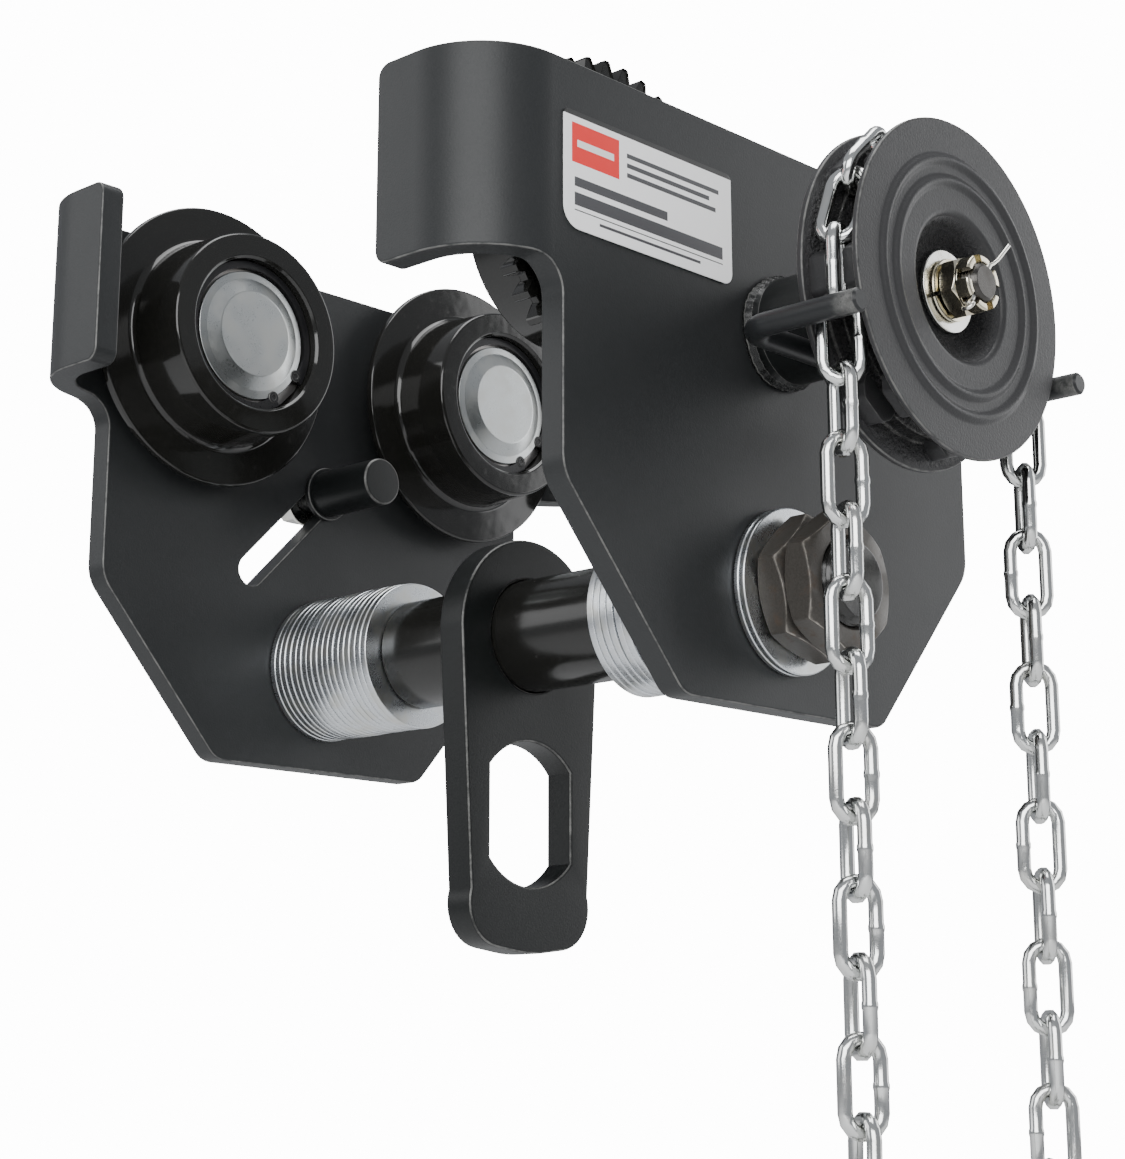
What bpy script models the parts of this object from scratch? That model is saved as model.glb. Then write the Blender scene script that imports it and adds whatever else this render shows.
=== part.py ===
"""Geared beam trolley: two side plates with bumpers, four flanged track wheels,
a load shaft with a suspension plate, and a hand chain drive.

X runs across the beam towards the geared side, Y runs along the beam, Z is up.
The origin lies on the beam flange's running surface, midway between the plates
and between the wheels. Lengths below are in millimetres and MM turns them to metres.
"""

import math

import bmesh
import bpy
from mathutils import Matrix, Vector

MM = 0.001
GAP = 0.3                      # clearance between pieces that touch

# Side plates
HALF_GAP = 138.5               # from the middle to each plate's inner face
PLATE_T = 12.0
PLATE_TOP = 99.0
PLATE_BOTTOM = -147.0
PLATE_HALF_LENGTH = 135.0      # to the upright edges under the bumpers
KNEE_Z = -69.0                 # where the upright edges turn to the sloping ones
FOOT_HALF_LENGTH = 65.5        # half of the straight lower edge
BUMPER_REACH = 179.0           # bumper's outer face from the middle, along the beam
BUMPER_RETURN = 60.0           # bumper's length across the beam, from the outer face
BUMPER_BOTTOM = 15.0
BEND_OUTER_R = 38.0
BEND_STEPS = 6

# Track wheels
WHEEL_Y = 84.3
WHEEL_Z = 49.0
FLANGE_R = 68.3
TREAD_R_FLANGE = 50.0
TREAD_R_FRONT = 48.4
WHEEL_BACK = 6.0               # offsets from the plate's inner face
FLANGE_FACE = 14.0
WHEEL_FRONT = 44.5
BEARING_R = 36.0
BEARING_BORE_R = 17.5
BEARING_BACK = 20.0
BEARING_W = 17.0
WHEEL_SEGMENTS = 32

# Gearing
MODULE = 3.5
WHEEL_TEETH = 37
PINION_TEETH = 15
BACKLASH = 0.7
GEAR_BACK = 6.0
GEAR_FRONT = 13.5
PRESSURE_ANGLE = math.radians(20.0)

# Hand chain drive
PINION_SHAFT_R = 10.0
THREAD_R = 8.0
THREAD_X = 233.0
BOSS_R = 23.0
BOSS_BORE_R = 17.0
BOSS_END_X = 205.0
WELD = 3.5                     # leg of the weld round the boss
HAND_WHEEL_R = 70.4
CHAIN_X = 228.3
GROOVE_HALF = 11.8
FLANGE_PLATE_T = 3.0
CHAIN_PITCH = 27.8
CHAIN_POCKETS = 7
CHAIN_LINKS = 180              # 5.0 m round the loop, for a drop of 2.5 m
CHAIN_WIDTH = 18.6
CHAIN_TUBE_R = 3.8             # a bar as heavy as the chain
CORE_DEPTH = 4.2               # from the chain's centre line down to the hand wheel's core
POCKET_DEPTH = 10.8            # and to the groove for the upright links
LUG_R = 66.0
RUN_BOTTOM = -326.0            # where the straight runs end and turn out to the hank
HANK_TURNS = 5
HANK_SPACING = 19.5            # between the hank's turns, across the beam
HANK_LEAD = 66.0               # height in which a run moves out to its turn
HANK_NECK = 44.0               # from there down to the hank's straight sides
TIE_WIDTH = 9.0
TIE_T = 1.2
CASTLE_NUT_R = 13.2            # to its corners
SHAFT_TIP_X = 254.5
SPLIT_PIN_X = 251.0
SPLIT_PIN_ANGLE = math.radians(52.0)

# Chain guide
GUIDE_R = 4.8
GUIDE_Y = 77.0
GUIDE_X = 193.0
GUIDE_END_X = 248.8
GUIDE_BEND_R = 11.0

# Load shaft
SHAFT_Z = -97.3
SHAFT_R = 25.5
SHAFT_END_R = 18.0
SHAFT_SHOULDER_X = 69.3
SHAFT_END_OFFSET = 38.0        # past each plate's outer face
SPACER_R = 35.0
SPACER_COUNT = 18
NUT_FLATS = 54.0
NUT_T = 13.3
NUT_TURN = 43.5                # degrees that each nut was left turned
LOCK_NUT_TURN = 35.5

# Suspension plate
SUSPENSION_T = 15.0
SUSPENSION_X = -2.9            # its middle, a little to the plain side
SUSPENSION_R = 44.4
SUSPENSION_BOTTOM = 139.0      # below the load shaft's axis
HOOK_SLOT_HALF = 25.5
HOOK_SLOT_R = 33.4             # of the shallow arcs that end it
HOOK_SLOT_HIGH = 60.1          # from the shaft's axis down to where the upper arc starts
HOOK_SLOT_LOW = 101.1

# Small features
STOP_R = 12.0                  # tilt stop: a peg that is clamped anywhere along a slot
STOP_LENGTH = 43.0
STOP_Y = -2.0
STOP_Z = -8.0
STOP_BOLT_R = 7.0
SLOT_WIDTH = 15.0
SLOT_TRAVEL = 64.0             # between the centres of the slot's round ends, at 45 degrees
LABEL_T = 0.5

PINION_Z = WHEEL_Z - math.sqrt((MODULE * (WHEEL_TEETH + PINION_TEETH) / 2) ** 2 - WHEEL_Y ** 2)
OUTER_FACE = HALF_GAP + PLATE_T
CHAIN_R = CHAIN_PITCH / (2 * math.sin(math.pi / (2 * CHAIN_POCKETS)))

PAINT = (0.075, 0.080, 0.086)
ENAMEL = (0.012, 0.012, 0.012)
ZINC = (0.62, 0.63, 0.62)
OXIDE = (0.060, 0.052, 0.045)
BRIGHT = (0.78, 0.77, 0.72)
BRASSY = (0.70, 0.62, 0.42)
CAST = (0.085, 0.087, 0.090)
STEEL = (0.45, 0.45, 0.46)
BRONZE = (0.55, 0.40, 0.20)
WHITE = (0.85, 0.85, 0.85)


# ---------------------------------------------------------------- helpers

def clear_scene():
    for obj in list(bpy.data.objects):
        bpy.data.objects.remove(obj, do_unlink=True)


def finish(name, color, roughness=0.5, metallic=0.0):
    """A Principled material with one colour."""
    mat = bpy.data.materials.new(name)
    mat.use_nodes = True
    shader = mat.node_tree.nodes["Principled BSDF"]
    shader.inputs["Base Color"].default_value = (*color, 1.0)
    shader.inputs["Roughness"].default_value = roughness
    shader.inputs["Metallic"].default_value = metallic
    mat.diffuse_color = (*color, 1.0)
    return mat


def add_object(name, bm, mat, parent=None, origin=(0, 0, 0)):
    """Store a bmesh given in millimetres as an object whose origin is at origin."""
    bmesh.ops.remove_doubles(bm, verts=bm.verts, dist=0.0005)
    bmesh.ops.recalc_face_normals(bm, faces=bm.faces)
    bmesh.ops.translate(bm, verts=bm.verts, vec=-Vector(origin))
    bmesh.ops.scale(bm, verts=bm.verts, vec=(MM, MM, MM))
    mesh = bpy.data.meshes.new(name)
    bm.to_mesh(mesh)
    bm.free()
    mesh.materials.append(mat)
    mesh.shade_smooth()
    mesh.set_sharp_from_angle(angle=math.radians(35))
    obj = bpy.data.objects.new(name, mesh)
    bpy.context.collection.objects.link(obj)
    if parent is None:
        obj.location = Vector(origin) * MM
    else:
        obj.parent = parent
        obj.location = Vector(origin) * MM - parent.location
    return obj


def axis_empty(name, location):
    """An empty that marks a joint axis and carries the pieces that turn on it."""
    empty = bpy.data.objects.new(name, None)
    empty.location = Vector(location) * MM
    empty.empty_display_size = 0.03
    bpy.context.collection.objects.link(empty)
    return empty


def lathe(profile, center=(0.0, 0.0), segments=32):
    """Turn a closed profile of (x, r) points about an axis along X through center (y, z)."""
    bm = bmesh.new()
    rings = []
    for x, r in profile:
        if r < 1e-6:
            rings.append([bm.verts.new((x, center[0], center[1]))])
            continue
        ring = []
        for i in range(segments):
            a = 2 * math.pi * i / segments
            ring.append(bm.verts.new((x, center[0] + r * math.cos(a), center[1] + r * math.sin(a))))
        rings.append(ring)
    for k, ring in enumerate(rings):
        other = rings[(k + 1) % len(rings)]
        if len(ring) == 1 and len(other) == 1:
            continue
        for i in range(segments):
            j = (i + 1) % segments
            corners = [ring[i % len(ring)], ring[j % len(ring)],
                       other[j % len(other)], other[i % len(other)]]
            unique = list(dict.fromkeys(corners))
            bm.faces.new(unique)
    return bm


def prism_x(outline, x0, x1, holes=()):
    """Extrude a (y, z) outline along X, with holes given as further outlines."""
    bm = bmesh.new()
    loops = [outline, *holes]
    for x in (x0, x1):
        edges = []
        for loop in loops:
            verts = [bm.verts.new((x, y, z)) for y, z in loop]
            for i, vert in enumerate(verts):
                edges.append(bm.edges.new((vert, verts[(i + 1) % len(verts)])))
        bmesh.ops.triangle_fill(bm, use_beauty=True, edges=edges)
    bm.verts.ensure_lookup_table()
    total = sum(len(loop) for loop in loops)
    start = 0
    for loop in loops:
        n = len(loop)
        for i in range(n):
            a = bm.verts[start + i]
            b = bm.verts[start + (i + 1) % n]
            c = bm.verts[start + total + (i + 1) % n]
            d = bm.verts[start + total + i]
            bm.faces.new((a, b, c, d))
        start += n
    return bm


def rounded(corners, steps=4):
    """Round a polygon given as (y, z, radius) corners, and return its (y, z) points."""
    points = []
    count = len(corners)
    for i, (y, z, radius) in enumerate(corners):
        here = Vector((y, z))
        if radius <= 0:
            points.append((y, z))
            continue
        before = Vector(corners[i - 1][:2]) - here
        after = Vector(corners[(i + 1) % count][:2]) - here
        half = before.angle(after) / 2
        reach = radius / math.tan(half)
        start = here + before.normalized() * reach
        end = here + after.normalized() * reach
        middle = (before.normalized() + after.normalized()).normalized()
        center = here + middle * (radius / math.sin(half))
        a0 = math.atan2(start.y - center.y, start.x - center.x)
        a1 = math.atan2(end.y - center.y, end.x - center.x)
        turn = (a1 - a0 + math.pi) % (2 * math.pi) - math.pi
        for k in range(steps + 1):
            a = a0 + turn * k / steps
            points.append((center.x + radius * math.cos(a), center.y + radius * math.sin(a)))
    return points


def circle(y, z, radius, segments=32, phase=0.0):
    return [(y + radius * math.cos(phase + 2 * math.pi * i / segments),
             z + radius * math.sin(phase + 2 * math.pi * i / segments)) for i in range(segments)]


def cut(obj, tool_bm, operation="DIFFERENCE"):
    """Cut or join obj with a hidden tool, and keep the modifier live."""
    tool_name = f"tool_{obj.name}_{len(obj.modifiers)}"
    tool = add_object(tool_name, tool_bm, obj.data.materials[0])
    tool.hide_render = True
    tool.display_type = "WIRE"
    mod = obj.modifiers.new(tool_name, "BOOLEAN")
    mod.operation = operation
    mod.solver = "EXACT"
    mod.object = tool
    return obj


def box(x0, x1, y0, y1, z0, z1, turn=0.0, about=(0.0, 0.0)):
    """A box, turned about an X axis through about (y, z)."""
    bm = bmesh.new()
    bmesh.ops.create_cube(bm, size=1.0)
    bmesh.ops.scale(bm, verts=bm.verts, vec=(x1 - x0, y1 - y0, z1 - z0))
    bmesh.ops.translate(bm, verts=bm.verts, vec=((x0 + x1) / 2, (y0 + y1) / 2, (z0 + z1) / 2))
    pivot = Vector((0.0, about[0], about[1]))
    bmesh.ops.rotate(bm, verts=bm.verts, cent=pivot, matrix=Matrix.Rotation(turn, 3, "X"))
    return bm


def inward(side, offset):
    """X of a point at the given distance inside a plate's inner face."""
    return side * (HALF_GAP - offset)


def mirrored(profile, side):
    """Profile points given as (inward offset, radius), placed on one side."""
    return [(inward(side, offset), radius) for offset, radius in profile]


# ---------------------------------------------------------------- side plates

def plate_outline():
    """The flat plate, before bending: (run along the plate, height) points."""
    bend_start = BUMPER_REACH - BEND_OUTER_R
    neutral = BEND_OUTER_R - PLATE_T / 2
    tip = bend_start + neutral * math.pi / 2 + BUMPER_RETURN - BEND_OUTER_R
    half = [
        (-tip, PLATE_TOP, 6.0),
        (-tip, BUMPER_BOTTOM, 6.0),
        (-PLATE_HALF_LENGTH, BUMPER_BOTTOM, 14.0),
        (-PLATE_HALF_LENGTH, KNEE_Z, 18.0),
        (-FOOT_HALF_LENGTH, PLATE_BOTTOM, 12.0),
    ]
    other = [(-y, z, r) for y, z, r in reversed(half)]
    return rounded(half + other)


def bend_plate(bm, side):
    """Wrap both ends of the flat plate round the bumper bends."""
    start = BUMPER_REACH - BEND_OUTER_R
    neutral = BEND_OUTER_R - PLATE_T / 2
    arc = neutral * math.pi / 2
    cuts = [start + arc * k / BEND_STEPS for k in range(BEND_STEPS + 1)]
    for y in cuts:
        for sign in (-1, 1):
            geom = list(bm.verts) + list(bm.edges) + list(bm.faces)
            bmesh.ops.bisect_plane(bm, geom=geom, plane_co=(0, sign * y, 0), plane_no=(0, 1, 0), dist=1e-5)
    for vert in bm.verts:
        along = abs(vert.co.y)
        if along <= start:
            continue
        sign = math.copysign(1.0, vert.co.y)
        depth = OUTER_FACE - abs(vert.co.x)
        angle = min((along - start) / neutral, math.pi / 2)
        straight = max(along - start - arc, 0.0)
        radius = BEND_OUTER_R - depth
        x = OUTER_FACE - BEND_OUTER_R + radius * math.cos(angle) - straight
        y = start + radius * math.sin(angle)
        vert.co.x = side * x
        vert.co.y = sign * y


def side_plate(name, side, mat, holes):
    bm = prism_x(plate_outline(), side * HALF_GAP, side * OUTER_FACE, holes)
    bend_plate(bm, side)
    return add_object(name, bm, mat)


def stop_slot_outline():
    """The slot that the tilt stop slides in, down and towards the near end at 45 degrees."""
    low = -SLOT_TRAVEL - SLOT_WIDTH / 2
    high = SLOT_WIDTH / 2
    half = SLOT_WIDTH / 2
    corner = half * 0.96
    corners = [(low, -half, corner), (high, -half, corner), (high, half, corner), (low, half, corner)]
    turn = math.sqrt(0.5)
    return [(STOP_Y + (u - v) * turn, STOP_Z + (u + v) * turn) for u, v in rounded(corners, 3)]


def make_side_plates():
    paint = finish("plate_paint", PAINT, 0.45)
    shaft_hole = circle(0, SHAFT_Z, SHAFT_END_R + GAP, 28)
    side_plate("side_plate_plain", -1, paint, [shaft_hole, stop_slot_outline()])
    pinion_hole = circle(0, PINION_Z, BOSS_BORE_R, 28)
    side_plate("side_plate_geared", 1, paint, [shaft_hole, pinion_hole])


# ---------------------------------------------------------------- track wheels

def involute_gear(teeth, center, phase):
    """Outline of a spur gear; only a small one's flanks need a point on the pitch circle."""
    pitch_r = MODULE * teeth / 2
    base_r = pitch_r * math.cos(PRESSURE_ANGLE)
    tip_r = pitch_r + MODULE * 0.98
    root_r = pitch_r - MODULE * 1.25
    half_tooth = math.pi / (2 * teeth) - BACKLASH / (4 * pitch_r)

    def involute(radius):
        angle = math.acos(min(base_r / radius, 1.0))
        return math.tan(angle) - angle

    def half_width(radius):
        return half_tooth + involute(pitch_r) - involute(max(radius, base_r))

    points = []
    for i in range(teeth):
        mid = phase + 2 * math.pi * i / teeth
        rising = [(root_r, -half_width(root_r)), (tip_r, -half_width(tip_r))]
        if teeth < 20:
            rising.insert(1, (pitch_r, -half_tooth))
        flank = rising + [(r, -a) for r, a in reversed(rising)]
        for radius, angle in flank:
            points.append((center[0] + radius * math.cos(mid + angle),
                           center[1] + radius * math.sin(mid + angle)))
    return points


def pinion_phase():
    """Angle of one pinion tooth, so that a gap faces the near geared wheel."""
    return math.atan2(WHEEL_Z - PINION_Z, -WHEEL_Y) + math.pi / PINION_TEETH


def geared_wheel_phase(end):
    """Angle of one wheel tooth, so that it stands in mesh with the pinion."""
    pitch = 2 * math.pi / PINION_TEETH
    to_wheel = math.atan2(WHEEL_Z - PINION_Z, end * WHEEL_Y)
    lead = (pinion_phase() - to_wheel) % pitch - pitch / 2
    return to_wheel + math.pi - lead * PINION_TEETH / WHEEL_TEETH


def wheel_profile(rim_r):
    """Half section of a track wheel, as (offset from the plate, radius) points."""
    return [
        (WHEEL_BACK, BEARING_BORE_R + 8.0),
        (WHEEL_BACK, rim_r - 14.0),
        (FLANGE_FACE - 4.0, rim_r),
        (FLANGE_FACE - 0.8, rim_r),
        (FLANGE_FACE, rim_r - 0.8),
        (FLANGE_FACE, TREAD_R_FLANGE),
        (WHEEL_FRONT - 1.2, TREAD_R_FRONT),
        (WHEEL_FRONT, TREAD_R_FRONT - 1.2),
        (WHEEL_FRONT, BEARING_R + 1.5),
        (WHEEL_FRONT - 1.2, BEARING_R + GAP),
        (BEARING_BACK - GAP, BEARING_R + GAP),
        (BEARING_BACK - GAP, BEARING_BORE_R + 8.0),
    ]


def make_track_wheel(name, side, end, geared, joint):
    center = (end * WHEEL_Y, WHEEL_Z)
    enamel = finish(f"{name}_enamel", ENAMEL, 0.15)
    rim_r = MODULE * WHEEL_TEETH / 2 - MODULE * 1.25 + 0.6 if geared else FLANGE_R
    bm = lathe(mirrored(wheel_profile(rim_r), side), center, WHEEL_SEGMENTS)
    obj = add_object(name, bm, enamel, joint, (0, *center))
    if geared:
        outline = involute_gear(WHEEL_TEETH, center, geared_wheel_phase(end))
        hub = circle(*center, TREAD_R_FLANGE - 4.0, WHEEL_SEGMENTS)
        ring = prism_x(outline, inward(side, GEAR_BACK + 0.4), inward(side, GEAR_FRONT), [hub])
        cut(obj, ring, "UNION")
    return obj


def make_wheel_fittings(tag, side, end, joint):
    """Bearing, its retaining ring and the dust cap, which turn with the wheel."""
    center = (end * WHEEL_Y, WHEEL_Z)
    front = BEARING_BACK + BEARING_W
    bearing = [(BEARING_BACK, BEARING_BORE_R + GAP), (BEARING_BACK, BEARING_R),
               (front, BEARING_R), (front, BEARING_BORE_R + GAP)]
    add_object(f"wheel_bearing_{tag}", lathe(mirrored(bearing, side), center, 20),
               finish(f"bearing_steel_{tag}", STEEL, 0.3, 1.0), joint, (0, *center))
    cap = [(front + 5.6, 0.0), (front + 5.6, 21.5), (front + 2.4, 27.0), (front + 2.4, 31.0),
           (front + GAP, 31.0), (front + GAP, 26.4), (front + 4.4, 21.0), (front + 4.4, 0.0)]
    add_object(f"dust_cap_{tag}", lathe(mirrored(cap, side), center, 20),
               finish(f"cap_zinc_{tag}", ZINC, 0.35, 0.9), joint, (0, *center))
    ring_outer = circle(*center, BEARING_R - 0.1, 20)
    ring_inner = circle(*center, 31.6, 20)
    clip = prism_x(ring_outer, inward(side, front + GAP), inward(side, front + 2.6), [ring_inner])
    add_object(f"retaining_ring_{tag}", clip, finish(f"ring_phosphate_{tag}", (0.02, 0.02, 0.02), 0.4, 0.6),
               joint, (0, *center))


def make_stub_axle(tag, side, end):
    """Axle welded to the plate's inner face, with a shoulder behind the bearing."""
    front = BEARING_BACK + BEARING_W
    axle = [(GAP, 0.0), (GAP, 24.0), (BEARING_BACK - GAP, 21.5), (BEARING_BACK - GAP, BEARING_BORE_R),
            (front + 3.6, BEARING_BORE_R), (front + 3.6, 0.0)]
    center = (end * WHEEL_Y, WHEEL_Z)
    add_object(f"stub_axle_{tag}", lathe(mirrored(axle, side), center, 20),
               finish(f"axle_steel_{tag}", STEEL, 0.35, 1.0))


def make_wheels():
    for side, side_name in ((-1, "plain"), (1, "geared")):
        for end, end_name in ((-1, "near"), (1, "far")):
            tag = f"{side_name}_{end_name}"
            joint = axis_empty(f"axis_wheel_{tag}", (0, end * WHEEL_Y, WHEEL_Z))
            make_track_wheel(f"track_wheel_{tag}", side, end, side > 0, joint)
            make_wheel_fittings(tag, side, end, joint)
            make_stub_axle(tag, side, end)


# ---------------------------------------------------------------- hand chain drive

def make_pinion_shaft(joint):
    """Pinion cut on its shaft, which carries the hand chain wheel outside."""
    center = (0.0, PINION_Z)
    mat = finish("pinion_steel", STEEL, 0.35, 1.0)
    shaft = [(inward(1, GEAR_FRONT + 3.0), 0.0), (inward(1, GEAR_FRONT + 3.0), PINION_SHAFT_R),
             (BOSS_END_X + 2.0, PINION_SHAFT_R), (THREAD_X, PINION_SHAFT_R), (THREAD_X, THREAD_R),
             (SHAFT_TIP_X - 1.0, THREAD_R), (SHAFT_TIP_X, THREAD_R - 1.0), (SHAFT_TIP_X, 0.0)]
    obj = add_object("pinion_shaft", lathe(shaft, center, 20), mat, joint, (0, *center))
    outline = involute_gear(PINION_TEETH, center, pinion_phase())
    bore = circle(*center, PINION_SHAFT_R - 3.0, 16)
    teeth = prism_x(outline, inward(1, GEAR_BACK - 1.0), inward(1, GEAR_FRONT + 1.5), [bore])
    cut(obj, teeth, "UNION")
    hole = lathe([(-14.0, 0.0), (-14.0, 2.1), (14.0, 2.1), (14.0, 0.0)], segments=12)
    bmesh.ops.rotate(hole, verts=hole.verts, cent=(0, 0, 0), matrix=Matrix.Rotation(math.pi / 2, 3, "Z"))
    bmesh.ops.rotate(hole, verts=hole.verts, cent=(0, 0, 0), matrix=Matrix.Rotation(SPLIT_PIN_ANGLE, 3, "X"))
    bmesh.ops.translate(hole, verts=hole.verts, vec=(SPLIT_PIN_X, *center))
    cut(obj, hole)


def make_boss():
    """Bearing boss welded to the geared plate, with its two bushes."""
    center = (0.0, PINION_Z)
    tube = [(OUTER_FACE + GAP, BOSS_BORE_R), (OUTER_FACE + GAP, BOSS_R + WELD),
            (OUTER_FACE + 4.0, BOSS_R + WELD - 0.5), (OUTER_FACE + 2 * WELD, BOSS_R),
            (BOSS_END_X - 1.0, BOSS_R), (BOSS_END_X, BOSS_R - 1.0), (BOSS_END_X, BOSS_BORE_R)]
    obj = add_object("pinion_boss", lathe(tube, center, 24), finish("boss_paint", PAINT, 0.4))
    groove = lathe([(-40.0, 0.0), (-40.0, GUIDE_R + GAP), (40.0, GUIDE_R + GAP), (40.0, 0.0)], segments=16)
    bmesh.ops.rotate(groove, verts=groove.verts, cent=(0, 0, 0), matrix=Matrix.Rotation(math.pi / 2, 3, "Z"))
    bmesh.ops.translate(groove, verts=groove.verts, vec=(GUIDE_X, 0, guide_z()))
    cut(obj, groove)
    bronze = finish("bush_bronze", BRONZE, 0.4, 1.0)
    for name, x0, x1 in (("pinion_bush_inner", HALF_GAP, HALF_GAP + 24.0),
                         ("pinion_bush_outer", BOSS_END_X - 25.0, BOSS_END_X - 0.5)):
        ring = [(x0, PINION_SHAFT_R + GAP), (x0, BOSS_BORE_R - GAP), (x1, BOSS_BORE_R - GAP),
                (x1, PINION_SHAFT_R + GAP)]
        add_object(name, lathe(ring, center, 16), bronze)


def guide_z():
    return PINION_Z - BOSS_R - 1.5


def make_hand_wheel(joint):
    """Pocket wheel: two pressed flanges on a core that the hand chain lies on."""
    center = (0.0, PINION_Z)
    back = CHAIN_X - GROOVE_HALF
    front = CHAIN_X + GROOVE_HALF
    face = front + FLANGE_PLATE_T
    bore = PINION_SHAFT_R + GAP
    core_r = CHAIN_R - CORE_DEPTH
    slot_r = CHAIN_R - POCKET_DEPTH
    profile = [
        (BOSS_END_X + 1.5, bore), (BOSS_END_X + 1.5, 18.0), (back - FLANGE_PLATE_T, 20.0),
        (back - FLANGE_PLATE_T, HAND_WHEEL_R), (back, HAND_WHEEL_R), (back, core_r),
        (CHAIN_X - 4.2, core_r), (CHAIN_X - 4.2, slot_r), (CHAIN_X + 4.2, slot_r), (CHAIN_X + 4.2, core_r),
        (front, core_r), (front, HAND_WHEEL_R), (face, HAND_WHEEL_R), (face, 31.0), (face - 7.0, 21.0),
        (face - 9.0, 20.0), (face - 9.0, bore),
    ]
    paint = finish("hand_wheel_paint", CAST, 0.5)
    obj = add_object("hand_chain_wheel", lathe(profile, center, 32), paint, joint, (0, *center))
    lugs = bmesh.new()
    for i in range(CHAIN_POCKETS):
        turn = 2 * math.pi * (i + 0.5) / CHAIN_POCKETS
        for x0, x1 in ((back - 1.0, back + 1.9), (front - 1.9, front + 1.0)):
            lug = box(x0, x1, -5.0, 5.0, core_r - 3.0 + PINION_Z, LUG_R + PINION_Z, turn,
                      (0.0, PINION_Z))
            part = bpy.data.meshes.new("lug")
            lug.to_mesh(part)
            lug.free()
            lugs.from_mesh(part)
            bpy.data.meshes.remove(part)
    cut(obj, lugs, "UNION")


def make_hand_wheel_fasteners(joint):
    center = (0.0, PINION_Z)
    seat = CHAIN_X + GROOVE_HALF + FLANGE_PLATE_T - 9.0
    zinc = finish("fastener_zinc", ZINC, 0.3, 1.0)
    washer = [(seat + GAP, 8.6), (seat + GAP, 17.2), (seat + 2.3, 17.2), (seat + 2.3, 8.6)]
    add_object("hand_wheel_washer", lathe(washer, center, 20), zinc, joint, (0, *center))
    spring = [(seat + 2.6, 8.6), (seat + 2.6, 13.0), (seat + 4.8, 12.6), (seat + 4.8, 8.6)]
    add_object("spring_washer", lathe(spring, center, 16), zinc, joint, (0, *center))
    brassy = finish("castle_nut_zinc", BRASSY, 0.25, 1.0)
    hexagon = circle(*center, CASTLE_NUT_R, 6, math.radians(20))
    nut_bore = circle(*center, THREAD_R + GAP, 16)
    nut = add_object("castle_nut", prism_x(hexagon, seat + 5.1, seat + 13.5, [nut_bore]), brassy, joint,
                     (0, *center))
    crown = lathe([(seat + 12.5, THREAD_R + GAP), (seat + 12.5, 11.6), (seat + 18.5, 11.6),
                   (seat + 19.2, 10.8), (seat + 19.2, THREAD_R + GAP)], center, 16)
    cut(nut, crown, "UNION")
    for k in range(3):
        turn = SPLIT_PIN_ANGLE + k * math.pi / 3
        slot = box(seat + 13.6, seat + 22.0, -16.0, 16.0, PINION_Z - 2.3, PINION_Z + 2.3, turn, center)
        cut(nut, slot)


def curve_rod(name, points, radius, mat, parent=None, origin=(0, 0, 0), resolution=2):
    """A round bar or wire along points given in millimetres, with flat ends."""
    curve = bpy.data.curves.new(name, "CURVE")
    curve.dimensions = "3D"
    curve.bevel_depth = radius * MM
    curve.bevel_resolution = resolution
    curve.use_fill_caps = True
    spline = curve.splines.new("POLY")
    spline.points.add(len(points) - 1)
    for slot, point in zip(spline.points, points):
        slot.co = (*((Vector(point) - Vector(origin)) * MM), 1.0)
    curve.materials.append(mat)
    obj = bpy.data.objects.new(name, curve)
    bpy.context.collection.objects.link(obj)
    if parent is None:
        obj.location = Vector(origin) * MM
    else:
        obj.parent = parent
        obj.location = Vector(origin) * MM - parent.location
    return obj


def make_split_pin(joint):
    """Split pin through the castle nut and shaft, one leg left straight."""
    c = math.cos(SPLIT_PIN_ANGLE)
    s = math.sin(SPLIT_PIN_ANGLE)
    runs = [(-14.5, 0.0), (0.0, 0.0), (12.0, 0.0), (24.0, 0.0)]
    points = [(SPLIT_PIN_X + dx, r * c, PINION_Z + r * s) for r, dx in runs]
    curve_rod("split_pin", points, 1.5, finish("pin_steel", BRIGHT, 0.25, 1.0), joint, (0, 0, PINION_Z))


def make_chain_guide():
    """One round bar bent to a U that keeps both chain runs in the groove."""
    z = guide_z()
    points = [(GUIDE_END_X, -GUIDE_Y, z)]
    for side in (-1, 1):
        arc = []
        for k in range(7):
            a = math.pi / 2 * k / 6
            x = GUIDE_X + GUIDE_BEND_R * (1 - math.sin(a))
            y = GUIDE_Y - GUIDE_BEND_R * (1 - math.cos(a))
            arc.append((x, side * y, z))
        points += arc if side < 0 else arc[::-1]
    points.append((GUIDE_END_X, GUIDE_Y, z))
    curve_rod("chain_guide", points, GUIDE_R, finish("guide_paint", PAINT, 0.35), resolution=2)


def hank_top():
    """Height of the centre of the hank's upper bends."""
    return RUN_BOTTOM - HANK_LEAD - HANK_NECK


def hank_straight():
    """Straight length of each of the hank's turns, from what the whole chain leaves for it."""
    bend = math.pi * CHAIN_R
    slant = math.hypot(HANK_LEAD, hank_half_width()) * 1.03
    used = bend + 2 * (PINION_Z - RUN_BOTTOM) + 2 * slant + 2 * HANK_NECK
    used += (2 * HANK_TURNS - 1) * bend
    return (CHAIN_LINKS * CHAIN_PITCH - used) / (2 * HANK_TURNS)


def hank_half_width():
    """From the middle of the hank to the middle of its outermost turn, across the beam."""
    return HANK_SPACING * (HANK_TURNS - 1) / 2


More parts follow.
